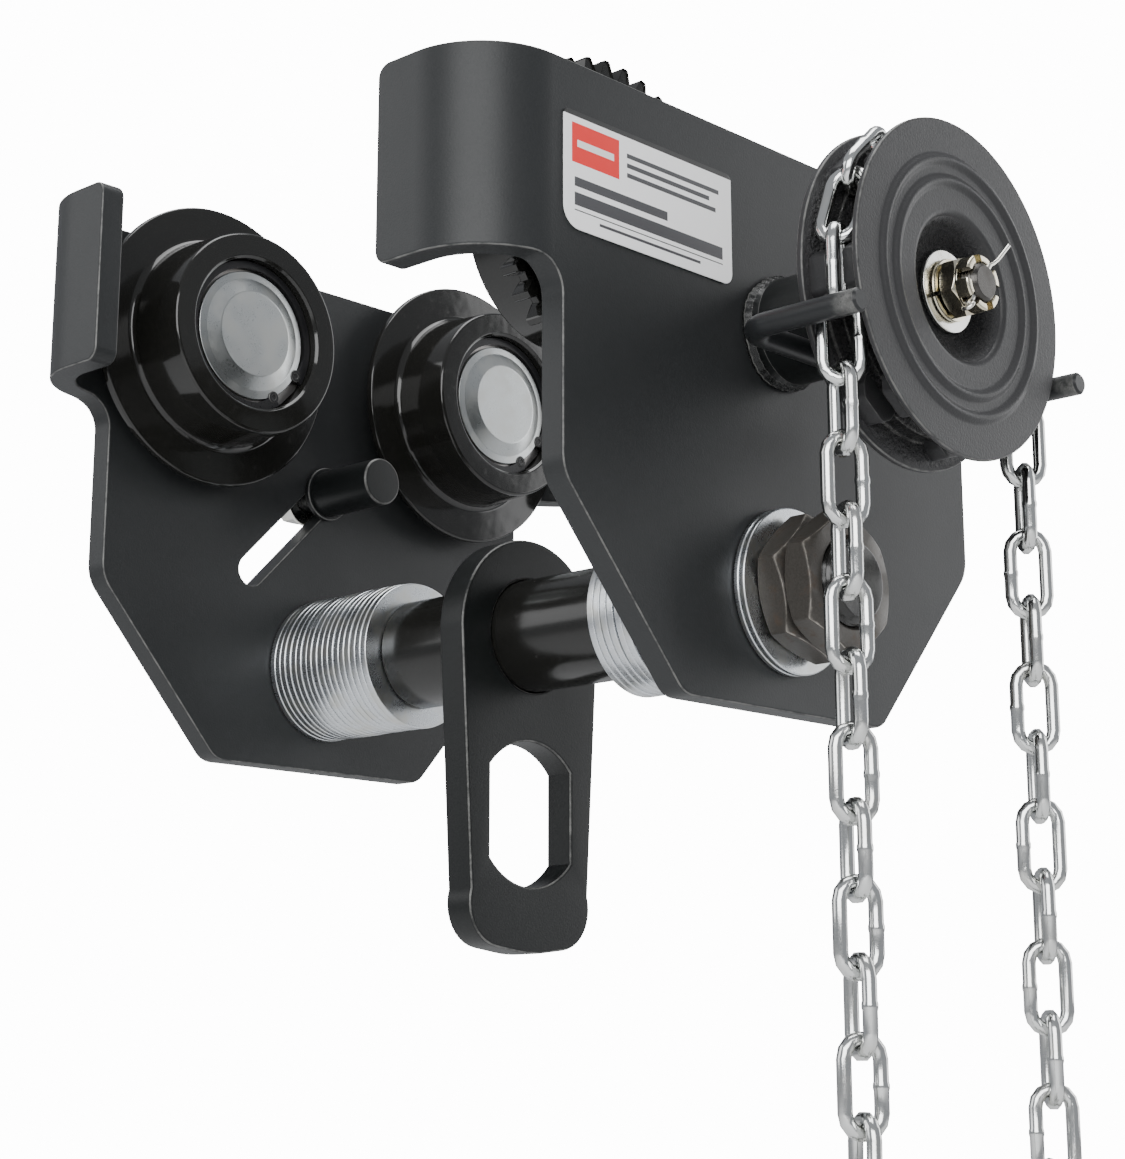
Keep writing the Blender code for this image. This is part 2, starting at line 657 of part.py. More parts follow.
def chain_run(side):
    """One run of the hand chain: from the wheel's top, over it, down and out to the hank."""
    gap = 0.7 / CHAIN_R
    points = []
    for k in range(9):
        t = math.pi / 2 - gap - (math.pi / 2 - gap) * k / 8
        points.append((CHAIN_X, side * CHAIN_R * math.cos(t), PINION_Z + CHAIN_R * math.sin(t)))
    for k in range(1, 16):
        points.append((CHAIN_X, side * CHAIN_R, PINION_Z + (RUN_BOTTOM - PINION_Z) * k / 15))
    for k in range(1, 7):
        share = k / 6
        x = CHAIN_X + side * hank_half_width() * (3 * share ** 2 - 2 * share ** 3)
        points.append((x, side * CHAIN_R, RUN_BOTTOM - HANK_LEAD * share))
    points.append((points[-1][0], side * CHAIN_R, hank_top() + HANK_NECK - 2.0))
    return points


def stadium(half_width, straight, top, steps=10):
    """Outline of an upright loop with round ends, whose upper bend is centred at top."""
    points = []
    for k in range(steps + 1):
        a = math.pi * k / steps
        points.append((half_width * math.cos(a), top + half_width * math.sin(a)))
    for k in range(steps + 1):
        a = math.pi + math.pi * k / steps
        points.append((half_width * math.cos(a), top - straight + half_width * math.sin(a)))
    return points


def make_hand_chain():
    """The endless hand chain: two runs off the wheel, and the rest tied up in a hank."""
    zinc = finish("chain_zinc", BRIGHT, 0.25, 1.0)
    curve_rod("hand_chain_far_run", chain_run(1), CHAIN_TUBE_R, zinc)
    curve_rod("hand_chain_near_run", chain_run(-1), CHAIN_TUBE_R, zinc)
    outer = CHAIN_R + CHAIN_WIDTH / 2
    inner = CHAIN_R - CHAIN_WIDTH / 2
    half = hank_half_width() + CHAIN_WIDTH / 2
    hole = stadium(inner, hank_straight(), hank_top())
    outline = stadium(outer, hank_straight(), hank_top())
    add_object("hand_chain_hank", prism_x(outline, CHAIN_X - half, CHAIN_X + half, [hole]), zinc)


def make_hank_tie():
    """Cable tie round the upper bends of the hank."""
    low = hank_top() + CHAIN_R - CHAIN_WIDTH / 2 - 1.2
    high = hank_top() + CHAIN_R + CHAIN_WIDTH / 2 + GAP
    half = hank_half_width() + CHAIN_WIDTH / 2 + GAP
    outer = rounded([(-half - TIE_T, low - TIE_T, 1.2), (half + TIE_T, low - TIE_T, 1.2),
                     (half + TIE_T, high + TIE_T, 1.2), (-half - TIE_T, high + TIE_T, 1.2)], 2)
    inner = [(-half, low), (half, low), (half, high), (-half, high)]
    band = prism_x(outer, -TIE_WIDTH / 2, TIE_WIDTH / 2, [inner])
    bmesh.ops.rotate(band, verts=band.verts, cent=(0, 0, 0), matrix=Matrix.Rotation(math.pi / 2, 3, "Z"))
    bmesh.ops.translate(band, verts=band.verts, vec=(CHAIN_X, 0, 0))
    add_object("hank_tie", band, finish("tie_nylon", (0.8, 0.8, 0.78), 0.4))


# ---------------------------------------------------------------- load shaft

def make_load_shaft(joint):
    """Stepped shaft, its spacer washers and the nuts that clamp the plates."""
    center = (0.0, SHAFT_Z)
    tip = OUTER_FACE + SHAFT_END_OFFSET
    half = [(SHAFT_SHOULDER_X - 1.0, SHAFT_R), (SHAFT_SHOULDER_X, SHAFT_R - 1.0),
            (SHAFT_SHOULDER_X, SHAFT_END_R), (tip - 2.0, SHAFT_END_R), (tip, SHAFT_END_R - 2.0)]
    profile = [(-tip, 0.0)] + [(-x, r) for x, r in reversed(half)] + half + [(tip, 0.0)]
    enamel = finish("shaft_enamel", ENAMEL, 0.2)
    add_object("load_shaft", lathe(profile, center, 28), enamel, joint, (0, *center))
    zinc = finish("spacer_zinc", ZINC, 0.3, 1.0)
    bore = SHAFT_END_R + GAP
    for side, name in ((-1, "plain"), (1, "geared")):
        stack = spacer_stack_profile(bore)
        add_object(f"spacer_washers_{name}", lathe([(side * x, r) for x, r in stack], center, 24), zinc,
                   joint, (0, *center))
        for k, which in enumerate(("inner", "outer")):
            x0 = OUTER_FACE + GAP + 3.0 * k
            ring = [(side * x0, bore), (side * x0, SPACER_R), (side * (x0 + 2.7), SPACER_R),
                    (side * (x0 + 2.7), bore)]
            add_object(f"shaft_washer_{name}_{which}", lathe(ring, center, 20), zinc, joint, (0, *center))
        make_shaft_nuts(side, name, joint)


def spacer_stack_profile(bore):
    """The stack of spacer washers as one turned piece with shallow parting grooves."""
    x0 = SHAFT_SHOULDER_X + GAP
    x1 = HALF_GAP - GAP
    pitch = (x1 - x0) / SPACER_COUNT
    profile = [(x1, bore), (x0, bore)]
    for k in range(3):
        start = x0 + pitch * 6 * k
        end = x0 + pitch * 6 * (k + 1)
        profile.append((start, SPACER_R))
        if k == 2:
            profile.append((end, SPACER_R))
        else:
            profile += [(end - 0.4, SPACER_R), (end - 0.4, SPACER_R - 1.0), (end, SPACER_R - 1.0)]
    return profile


def make_shaft_nuts(side, name, joint):
    center = (0.0, SHAFT_Z)
    oxide = finish(f"nut_oxide_{name}", OXIDE, 0.5, 0.8)
    corner_r = NUT_FLATS / math.sqrt(3)
    first = OUTER_FACE + 6.0 + GAP
    for which, x0, turn in (("shaft_nut", first, NUT_TURN),
                            ("lock_nut", first + NUT_T + GAP, LOCK_NUT_TURN)):
        x1 = x0 + NUT_T
        hexagon = circle(*center, corner_r, 6, math.radians(turn))
        nut = prism_x(hexagon, side * x0, side * x1, [circle(*center, SHAFT_END_R + GAP, 20)])
        obj = add_object(f"{which}_{name}", nut, oxide, joint, (0, *center))
        chamfer = lathe([(side * (x0 - 1.0), 0.0), (side * (x0 - 1.0), NUT_FLATS / 2 - 2.0),
                         (side * (x0 + 2.2), corner_r + 1.0), (side * (x1 - 2.2), corner_r + 1.0),
                         (side * (x1 + 1.0), NUT_FLATS / 2 - 2.0), (side * (x1 + 1.0), 0.0)], center, 24)
        cut(obj, chamfer, "INTERSECT")


def make_suspension_plate(joint):
    """Thick plate on the load shaft, with the slot that takes the hoist's hook."""
    top = []
    for k in range(17):
        a = math.pi * k / 16
        top.append((SUSPENSION_R * math.cos(a), SHAFT_Z + SUSPENSION_R * math.sin(a)))
    foot = SHAFT_Z - SUSPENSION_BOTTOM
    lower = rounded([(-SUSPENSION_R, foot + 2.0, 19.0), (0.0, foot - 3.5, 70.0),
                     (SUSPENSION_R, foot + 2.0, 19.0), (0.0, SHAFT_Z, 0.0)], 6)[:-1]
    outline = top + lower
    slot = []
    spread = math.asin(HOOK_SLOT_HALF / HOOK_SLOT_R)
    rise = HOOK_SLOT_R * math.cos(spread)
    for turn, center in ((math.pi / 2, SHAFT_Z - HOOK_SLOT_HIGH - rise),
                         (-math.pi / 2, SHAFT_Z - HOOK_SLOT_LOW + rise)):
        for k in range(9):
            a = turn - spread + 2 * spread * k / 8
            slot.append((HOOK_SLOT_R * math.cos(a), center + HOOK_SLOT_R * math.sin(a)))
    hole = circle(0.0, SHAFT_Z, SHAFT_R + GAP, 36)
    low = SUSPENSION_X - SUSPENSION_T / 2
    bm = prism_x(outline, low, low + SUSPENSION_T, [slot, hole])
    add_object("suspension_plate", bm, finish("suspension_paint", PAINT, 0.4), joint, (0, 0, SHAFT_Z))


# ---------------------------------------------------------------- small pieces

def make_tilt_stop():
    """Peg under the beam's flange, bolted through the plain plate's slot."""
    joint = axis_empty("axis_tilt_stop", (-HALF_GAP, STOP_Y, STOP_Z))
    origin = (-HALF_GAP, STOP_Y, STOP_Z)
    center = (STOP_Y, STOP_Z)
    base = -HALF_GAP + GAP
    tip = -HALF_GAP + STOP_LENGTH
    end = -OUTER_FACE - 17.0
    profile = [(end, 0.0), (end, STOP_BOLT_R - 1.0), (end + 1.0, STOP_BOLT_R), (base, STOP_BOLT_R),
               (base, STOP_R + 3.5), (base + 3.0, STOP_R + 3.5), (base + 3.0, STOP_R), (tip - 1.5, STOP_R),
               (tip, STOP_R - 1.5), (tip, 0.0)]
    add_object("tilt_stop_peg", lathe(profile, center, 24), finish("peg_enamel", ENAMEL, 0.3), joint, origin)
    zinc = finish("stop_zinc", ZINC, 0.3, 1.0)
    bore = STOP_BOLT_R + GAP
    face = -OUTER_FACE - GAP
    ring = [(face, bore), (face, 14.0), (face - 2.5, 14.0), (face - 2.5, bore)]
    add_object("tilt_stop_washer", lathe(ring, center, 20), zinc, joint, origin)
    hexagon = circle(*center, 21.0 / math.sqrt(3), 6)
    nut = prism_x(hexagon, face - 2.5 - GAP, face - 2.5 - GAP - 11.0, [circle(*center, bore, 16)])
    add_object("tilt_stop_nut", nut, zinc, joint, origin)


def make_nameplate():
    """Thin plate with rounded corners on the geared plate's outer face."""
    outline = rounded([(-135.5, 28.6, 9.0), (-32.5, 28.6, 5.0), (-32.5, 77.6, 3.0), (-135.5, 77.6, 3.0)])
    bm = prism_x(outline, OUTER_FACE + GAP, OUTER_FACE + GAP + LABEL_T)
    add_object("nameplate", bm, finish("nameplate_white", WHITE, 0.4))


def main():
    clear_scene()
    make_side_plates()
    make_wheels()
    drive = axis_empty("axis_hand_wheel", (0, 0, PINION_Z))
    make_pinion_shaft(drive)
    make_boss()
    make_hand_wheel(drive)
    make_hand_wheel_fasteners(drive)
    make_split_pin(drive)
    make_chain_guide()
    make_hand_chain()
    make_hank_tie()
    shaft = axis_empty("axis_load_shaft", (0, 0, SHAFT_Z))
    make_load_shaft(shaft)
    make_suspension_plate(shaft)
    make_tilt_stop()
    make_nameplate()


main()
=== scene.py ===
# %% [markdown]
# # A geared beam trolley: its looks
# The imported model already holds every piece at its real size and place: plates, wheels, gears,
# shafts and nuts. This script keeps that frame and makes the surfaces you see around it. Pieces
# whose outline matters up close, such as plates, wheels and chain, are made again with rounded
# edges, and each new piece hides the plain solid it stands for.

# %% Load the frame
import math

import bmesh
import bpy
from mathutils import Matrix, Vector


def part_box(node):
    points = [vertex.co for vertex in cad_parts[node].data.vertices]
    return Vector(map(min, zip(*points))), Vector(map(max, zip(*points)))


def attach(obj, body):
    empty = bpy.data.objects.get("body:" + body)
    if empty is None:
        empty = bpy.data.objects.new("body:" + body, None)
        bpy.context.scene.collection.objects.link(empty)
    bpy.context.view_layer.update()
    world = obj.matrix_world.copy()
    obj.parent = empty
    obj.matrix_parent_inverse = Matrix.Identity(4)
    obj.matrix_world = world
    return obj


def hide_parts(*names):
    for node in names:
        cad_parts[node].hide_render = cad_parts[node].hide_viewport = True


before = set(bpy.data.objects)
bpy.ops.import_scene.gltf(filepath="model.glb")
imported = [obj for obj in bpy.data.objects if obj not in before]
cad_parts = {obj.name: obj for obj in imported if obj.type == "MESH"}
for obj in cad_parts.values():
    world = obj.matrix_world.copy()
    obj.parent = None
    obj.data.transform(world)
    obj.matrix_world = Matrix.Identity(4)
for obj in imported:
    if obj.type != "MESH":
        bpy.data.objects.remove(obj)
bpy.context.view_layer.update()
MM = 0.001


# %% [markdown]
# ## Places and sizes from the frame
# Lengths in this script are millimetres. Centres, faces and reaches are read off the boxes of
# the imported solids, so the looks follow the frame if a size there changes.

# %% Read the driving sizes
def corners(node):
    """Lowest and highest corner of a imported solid, in millimetres."""
    low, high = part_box(node)
    return Vector(low) / MM, Vector(high) / MM


def middle(node):
    low, high = corners(node)
    return (low + high) / 2


PLATE_LOW, PLATE_HIGH = corners("side_plate_geared")
OUTER_FACE = PLATE_HIGH.x                       # the plates' outer faces
PLATE_T = 12.0
HALF_GAP = OUTER_FACE - PLATE_T                 # the plates' inner faces
WHEEL_Y = middle("track_wheel_plain_far").y
WHEEL_Z = middle("track_wheel_plain_far").z
SHAFT_Z = middle("load_shaft").z
PINION_Z = middle("hand_chain_wheel").z
SIDES = {"plain": -1, "geared": 1}
ENDS = {"near": -1, "far": 1}
print(f"plates {2 * HALF_GAP:.1f} apart inside, wheels at {WHEEL_Y:.1f}, {WHEEL_Z:.1f}")


# %% [markdown]
# ## The camera, the floor and the light
# The trolley hangs above eye level, so the camera looks up at it from the geared side and sees
# under the wheels. A long lens keeps the plates nearly parallel. The picture's middle lies below
# the lens axis, which a small vertical shift gives without tipping the camera.

# %% Camera
def make_camera():
    data = bpy.data.cameras.new("camera")
    data.lens = 74.9
    data.sensor_width = 36.0
    data.shift_x = 0.0009
    data.shift_y = -0.0858
    data.clip_end = 50.0
    camera = bpy.data.objects.new("camera", data)
    bpy.context.collection.objects.link(camera)
    camera.location = (0.7544, -0.7798, -0.2928)
    camera.rotation_euler = (math.radians(90 + 13.95), 0.0, math.radians(43.17))
    bpy.context.scene.camera = camera
    return camera


camera = make_camera()
print("camera at", [round(c, 3) for c in camera.location])


# %% [markdown]
# A node tree is easier to read as a sum than as boxes and wires. `Socket` wraps one output, and
# adding or multiplying two of them adds the Math node. `Tree.add` makes any other node.

# %% Node trees written as expressions
class Socket:
    """One output of a node, which Python's operators can do maths on."""

    def __init__(self, tree, node, output=0):
        self.tree = tree
        self.node = node
        self.output = node.outputs[output]

    def of(self, output):
        """Another output of the same node."""
        return Socket(self.tree, self.node, output)

    def maths(self, operation, *values):
        return self.tree.add("ShaderNodeMath", {"operation": operation}, *values)

    def __add__(self, other):
        return self.maths("ADD", self, other)

    def __sub__(self, other):
        return self.maths("SUBTRACT", self, other)

    def __rsub__(self, other):
        return self.maths("SUBTRACT", other, self)

    def __mul__(self, other):
        return self.maths("MULTIPLY", self, other)

    def __truediv__(self, other):
        return self.maths("DIVIDE", self, other)

    def __mod__(self, other):
        return self.maths("MODULO", self, other)

    def __lt__(self, other):
        return self.maths("LESS_THAN", self, other)

    def __gt__(self, other):
        return self.maths("GREATER_THAN", self, other)

    def __rtruediv__(self, other):
        return self.maths("DIVIDE", other, self)

    __radd__ = __add__
    __rmul__ = __mul__


class Tree:
    """A node tree that nodes are added to one at a time."""

    def __init__(self, node_tree):
        self.nodes = node_tree.nodes
        self.links = node_tree.links

    def feed(self, socket, value):
        if isinstance(value, Socket):
            self.links.new(value.output, socket)
        else:
            socket.default_value = value

    def add(self, kind, settings=None, *values, **named):
        """A node with its settings, then its sockets in order and by name."""
        node = self.nodes.new(kind)
        stops = (settings or {}).get("stops")
        for key, value in (settings or {}).items():
            if key != "stops":
                setattr(node, key, value)
        if stops:
            ramp = node.color_ramp
            for element, (place, color) in zip((ramp.elements[0], ramp.elements[1]), stops):
                element.position = place
                element.color = color
        for index, value in enumerate(values):
            if value is not None:
                self.feed(node.inputs[index], value)
        for name, value in named.items():
            self.feed(node.inputs[name.replace("_", " ")], value)
        return Socket(self, node)


# %% [markdown]
# ## Finishes
# Every finish is a Principled surface whose colour and roughness wander a little, as paint, zinc
# and mill scale do. Patterns read Object coordinates, so they stay on a piece when it moves.

# %% A finish and the patterns it is made of
class Finish(Tree):
    """A Principled material with constants on its own sockets."""

    def __init__(self, name, **constants):
        self.material = bpy.data.materials.new(name)
        self.material.use_nodes = True
        super().__init__(self.material.node_tree)
        self.shader = self.nodes["Principled BSDF"]
        for socket, value in constants.items():
            self.shader.inputs[socket.replace("_", " ")].default_value = value
        self.place = self.add("ShaderNodeTexCoord").of("Object")

    def noise(self, size, detail=2.0, roughness=0.55, stretch=(1.0, 1.0, 1.0)):
        """Soft noise whose patches are about size millimetres, from 0 to 1."""
        scaled = [1000.0 / size * s for s in stretch]
        at = self.add("ShaderNodeVectorMath", {"operation": "MULTIPLY"}, self.place, scaled)
        return self.add("ShaderNodeTexNoise", None, Vector=at, Scale=1.0, Detail=detail,
                        Roughness=roughness)

    def step(self, value, low, high):
        """0 below low, 1 above high, and smooth between."""
        return self.add("ShaderNodeMapRange", {"interpolation_type": "SMOOTHSTEP"}, value, low, high)

    def mix(self, factor, a, b):
        """Colour a where factor is 0 and b where it is 1."""
        node = self.nodes.new("ShaderNodeMix")
        node.data_type = "RGBA"
        self.feed(node.inputs[0], factor)
        self.feed(node.inputs[6], a if isinstance(a, Socket) else (*a, 1.0))
        self.feed(node.inputs[7], b if isinstance(b, Socket) else (*b, 1.0))
        return Socket(self, node, 2)

    def mark(self, name):
        """A value stored on the piece's own vertices, such as edge or rough."""
        return self.add("ShaderNodeAttribute", {"attribute_name": name}).of("Fac")

    def wear(self, **links):
        for name, value in links.items():
            self.feed(self.shader.inputs[name.replace("_", " ")], value)
        return self

    def bump(self, height, depth, strength=1.0):
        """Relief of depth millimetres under the surface's light."""
        relief = self.add("ShaderNodeBump", None, Strength=strength, Distance=depth * MM, Height=height)
        return self.wear(Normal=relief)


def powder_coat(name, color, roughness=0.42, grain=0.05, worn=(0.12, 0.12, 0.115), cast=0.0):
    """Textured paint: a fine orange-peel grain, slight clouding, and lighter edges, partly paint rubbed
    thin and partly a painted highlight.

    cast is the depth in millimetres of the lumps where the piece's rough_and_shaded mark is 1. There the
    colour is also painted darker, as painted shade, since these spots lie in hollows and at weld roots.
    """
    coat = Finish(name, Metallic=0.0, IOR=1.38)
    clouds = coat.noise(60.0, 3.0)
    specks = coat.noise(0.9, 2.0)
    dark = tuple(c * 0.84 for c in color)
    light = tuple(c * 1.18 for c in color)
    paint = coat.mix(clouds * 0.5 + specks * 0.5, dark, light)
    # lighter edges: partly paint rubbed thin, partly a painted highlight along the rounded edges
    rubbed = coat.step(coat.mark("edge") * (0.35 + coat.noise(7.0, 4.0, 0.65) * 0.9), 0.55, 0.95)
    gloss = roughness + (clouds - 0.5) * 0.12 + (specks - 0.5) * 0.16 - rubbed * 0.08
    height = specks * grain
    if cast:
        rough_and_shaded = coat.mark("rough_and_shaded")
        # painted shade: the cast and welded spots lie in hollows and at weld roots, so their colour is
        # painted towards black
        paint = coat.mix(rough_and_shaded * 0.45, paint, (0.002, 0.002, 0.002))
        gloss = gloss - rough_and_shaded * 0.12
        height = height + coat.noise(3.0, 4.0, 0.7) * rough_and_shaded * cast
    coat.wear(Base_Color=coat.mix(rubbed, paint, worn), Roughness=gloss)
    coat.bump(height, 1.0)
    return coat.material


def gloss_enamel(name, roughness=0.07):
    """Dipped black enamel, nearly a mirror, with a little dust and fine waves."""
    coat = Finish(name, Metallic=0.0, IOR=1.5, Coat_Roughness=0.03)
    dust = coat.step(coat.noise(5.0, 5.0, 0.7), 0.55, 0.8)
    coat.wear(Base_Color=coat.mix(dust * 0.35, (0.010, 0.010, 0.009), (0.024, 0.022, 0.019)))
    coat.wear(Roughness=roughness + dust * 0.15 + coat.noise(30.0, 2.0) * 0.05)
    coat.bump(coat.noise(9.0, 1.0), 0.05)
    return coat.material


def zinc_plate(name, color, roughness=0.3, tint=(0.62, 0.60, 0.50), scratch=0.5):
    """Bright zinc on steel: cool and warm patches, fine scratches round and along."""
    plate = Finish(name, Metallic=1.0)
    patches = plate.step(plate.noise(11.0, 3.0), 0.42, 0.68)
    streaks = plate.noise(0.7, 3.0, 0.7, stretch=(0.12, 1.0, 1.0))
    body = plate.mix(patches * 0.5, color, tint)
    dull = tuple(c * 0.72 for c in color)
    plate.wear(Base_Color=plate.mix(streaks * scratch, body, dull))
    plate.wear(Roughness=roughness + (streaks - 0.5) * 0.22 + patches * 0.08)
    plate.bump(streaks, 0.015)
    return plate.material


def black_oxide(name):
    """Mill-scaled nuts: brown-black, with rust blooming in places."""
    scale = Finish(name, Metallic=0.35)
    rust = scale.step(scale.noise(9.0, 5.0, 0.65), 0.52, 0.74)
    grit = scale.noise(0.8, 3.0)
    body = scale.mix(grit, (0.038, 0.035, 0.031), (0.085, 0.078, 0.069))
    rusty = scale.mix(rust * 0.55, body, (0.085, 0.050, 0.028))
    rubbed = scale.step(scale.mark("edge") * (0.4 + scale.noise(5.0, 4.0, 0.65)), 0.6, 1.0)
    scale.wear(Base_Color=scale.mix(rubbed, rusty, (0.30, 0.28, 0.25)))
    scale.wear(Roughness=0.38 + rust * 0.25 + (grit - 0.5) * 0.15)
    scale.bump(grit * 0.6 + scale.noise(4.0, 3.0) * 0.4, 0.08)
    return scale.material


charcoal = powder_coat("charcoal powder coat", (0.0195, 0.0208, 0.0215))
# bracket and hand wheel paint: cast also paints the boss weld, the hub dish and the core between the discs
# darker, as painted shade
bracket_black = powder_coat("bracket powder coat", (0.006, 0.007, 0.007), 0.40, cast=0.35)
casting_paint = powder_coat("hand wheel paint", (0.028, 0.028, 0.029), 0.43, 0.14, cast=9.0)
guide_satin = powder_coat("chain guide paint", (0.014, 0.015, 0.016), 0.33)
wheel_enamel = gloss_enamel("track wheel enamel")
shaft_enamel = gloss_enamel("load shaft enamel", 0.16)
washer_zinc = zinc_plate("washer zinc", (0.70, 0.73, 0.76), 0.28)
cap_zinc = zinc_plate("dust cap zinc", (0.50, 0.52, 0.52), 0.30, (0.48, 0.48, 0.45), 0.25)
chain_zinc = zinc_plate("hand chain zinc", (0.74, 0.75, 0.74), 0.13, (0.62, 0.61, 0.57), 0.4)
bright_zinc = zinc_plate("fastener zinc", (0.80, 0.80, 0.77), 0.20, (0.76, 0.72, 0.60), 0.2)
yellow_zinc = zinc_plate("castle nut yellow zinc", (0.74, 0.70, 0.57), 0.17, (0.62, 0.52, 0.34), 0.2)
bare_steel = zinc_plate("turned bare steel", (0.36, 0.35, 0.34), 0.30, (0.30, 0.27, 0.24), 0.4)
dark_steel = zinc_plate("greased dark steel", (0.075, 0.072, 0.068), 0.28, (0.05, 0.042, 0.035), 0.4)
bronze = zinc_plate("bush bronze", (0.60, 0.42, 0.20), 0.35, (0.45, 0.30, 0.15), 0.3)
nut_oxide = black_oxide("nut black oxide")
phosphate = powder_coat("ring phosphate", (0.012, 0.012, 0.013), 0.3, 0.02)
tie_nylon = powder_coat("tie nylon", (0.70, 0.70, 0.67), 0.35, 0.02)
print(len(bpy.data.materials), "finishes, the frame's own among them")


# %% [markdown]
# ### Floor and light
# A plain pale floor and soft studio light. Two large softboxes do the work: one at the left
# front, which rakes the bumpers, and one behind to the right, which the zinc caps mirror.

# %% Floor, softboxes and surroundings
FLOOR_Z = (corners("hand_chain_hank")[0].z - 40.0) * MM


def make_floor():
    bm = bmesh.new()
    bmesh.ops.create_circle(bm, cap_ends=True, radius=9.0, segments=64)
    mesh = bpy.data.meshes.new("floor")
    bm.to_mesh(mesh)
    bm.free()
    paper = Finish("pale floor", Roughness=0.9)
    paper.wear(Base_Color=paper.mix(paper.noise(400.0), (0.80, 0.80, 0.80), (0.84, 0.84, 0.84)))
    mesh.materials.append(paper.material)
    floor = bpy.data.objects.new("floor", mesh)
    floor.location = (0, 0, FLOOR_Z)
    bpy.context.collection.objects.link(floor)
    return floor


def softbox(name, place, size, power, aim=(0.05, 0.0, -0.05), color=(1, 1, 1)):
    data = bpy.data.lights.new(name, "AREA")
    data.shape = "RECTANGLE"
    data.size, data.size_y = size
    data.energy = power
    data.color = color
    light = bpy.data.objects.new(name, data)
    light.location = place
    toward = Vector(aim) - Vector(place)
    light.rotation_euler = toward.to_track_quat("-Z", "Y").to_euler()
    bpy.context.collection.objects.link(light)
    light.visible_camera = False
    return light


def make_surroundings():
    """White to the eye, and a dim grey room in the reflections."""
    world = bpy.data.worlds.new("studio")
    world.use_nodes = True
    tree = Tree(world.node_tree)
    for node in list(tree.nodes):
        tree.nodes.remove(node)
    room = tree.add("ShaderNodeBackground", None, Color=(0.92, 0.95, 1.0, 1.0), Strength=0.42)
    white = tree.add("ShaderNodeBackground", None, Color=(1.0, 1.0, 1.0, 1.0), Strength=14.0)
    seen = tree.add("ShaderNodeLightPath")
    both = tree.add("ShaderNodeMixShader", None, seen, room, white)
    output = tree.nodes.new("ShaderNodeOutputWorld")
    tree.links.new(both.output, output.inputs["Surface"])
    bpy.context.scene.world = world


make_floor()
softbox("left softbox", (-1.8, -1.9, 0.95), (1.6, 1.8), 17)
softbox("behind the viewer", (1.5, -2.1, 0.75), (2.6, 1.6), 78)
softbox("right back softbox", (0.85, 2.4, 0.6), (2.0, 1.8), 28)
softbox("top softbox", (0.2, 0.1, 2.2), (1.6, 1.6), 45)
make_surroundings()
print("floor at", round(FLOOR_Z, 3), "m")


# %% [markdown]
# ## The hand chain
# The chain is endless, of welded round-steel links. Its route starts at the top of the hand
# wheel, runs over the far side and down, goes round a tied hank that holds the spare length, and
# comes back up the near side. The hank's turns are a loop of their own. Geometry Nodes then sets
# one link on every pitch of the route.

# %% The chain's route
CHAIN_PITCH = 27.8
CHAIN_LINKS = 180
CHAIN_WIRE = 5.6
CHAIN_WIDTH = 20.2
TURN_HALF = 9.3                         # from a hank turn's centre line out to the solid's face
CHAIN_R = CHAIN_PITCH / (2 * math.sin(math.pi / 14))
CHAIN_X = 228.3
RUN_BOTTOM = -326.0
HANK_TURNS = 5
HANK_SPACING = 19.5
HANK_LEAD = 66.0
HANK_NECK = 44.0
HANK_HALF = HANK_SPACING * (HANK_TURNS - 1) / 2
HANK_TOP = RUN_BOTTOM - HANK_LEAD - HANK_NECK
HANK_LOW = corners("hand_chain_hank")[0]
HANK_STRAIGHT = HANK_TOP - (HANK_LOW.z + CHAIN_R + TURN_HALF)


def run_points(side):
    """One run, from the wheel's top down to the hank's side."""
    points = []
    for k in range(25):
        t = math.pi / 2 * (1 - k / 24)
        points.append((CHAIN_X, side * CHAIN_R * math.cos(t), PINION_Z + CHAIN_R * math.sin(t)))
    for k in range(1, 31):
        points.append((CHAIN_X, side * CHAIN_R, PINION_Z + (RUN_BOTTOM - PINION_Z) * k / 30))
    for k in range(1, 13):
        share = k / 12
        x = CHAIN_X + side * HANK_HALF * (3 * share ** 2 - 2 * share ** 3)
        points.append((x, side * CHAIN_R, RUN_BOTTOM - HANK_LEAD * share))
    points.append((CHAIN_X + side * HANK_HALF, side * CHAIN_R, HANK_TOP + HANK_NECK / 2))
    return points


def hank_points():
    """The hank's turns: down the far side, round, up the near side and over to the next turn."""
    points = []
    low = HANK_TOP - HANK_STRAIGHT
    for turn in range(HANK_TURNS):
        x = CHAIN_X + HANK_HALF - HANK_SPACING * turn
        for k in range(9):
            points.append((x, CHAIN_R, HANK_TOP - HANK_STRAIGHT * k / 8))
        for k in range(1, 24):
            t = math.pi * k / 24
            points.append((x, CHAIN_R * math.cos(t), low - CHAIN_R * math.sin(t)))
        for k in range(9):
            points.append((x, -CHAIN_R, low + HANK_STRAIGHT * k / 8))
        if turn < HANK_TURNS - 1:
            for k in range(1, 24):
                t = math.pi * k / 24
                across = x - HANK_SPACING * (0.5 - 0.5 * math.cos(t))
                points.append((across, -CHAIN_R * math.cos(t), HANK_TOP + CHAIN_R * math.sin(t)))
    return points


def chain_route():
    """The whole chain's line, from the wheel's top round to the wheel's top again."""
    return [Vector(p) for p in run_points(1) + hank_points() + run_points(-1)[::-1]]


def line_length(points):
    return sum((b - a).length for a, b in zip(points, points[1:]))


route = chain_route()
print(f"route of {line_length(route):.0f} mm for {CHAIN_LINKS * CHAIN_PITCH:.0f} mm of chain")


# %% [markdown]
# A link is a round bar bent to a long ring and welded in the middle of one side. It is swept by
# hand here: a section is carried round the ring, a little thicker at the weld.

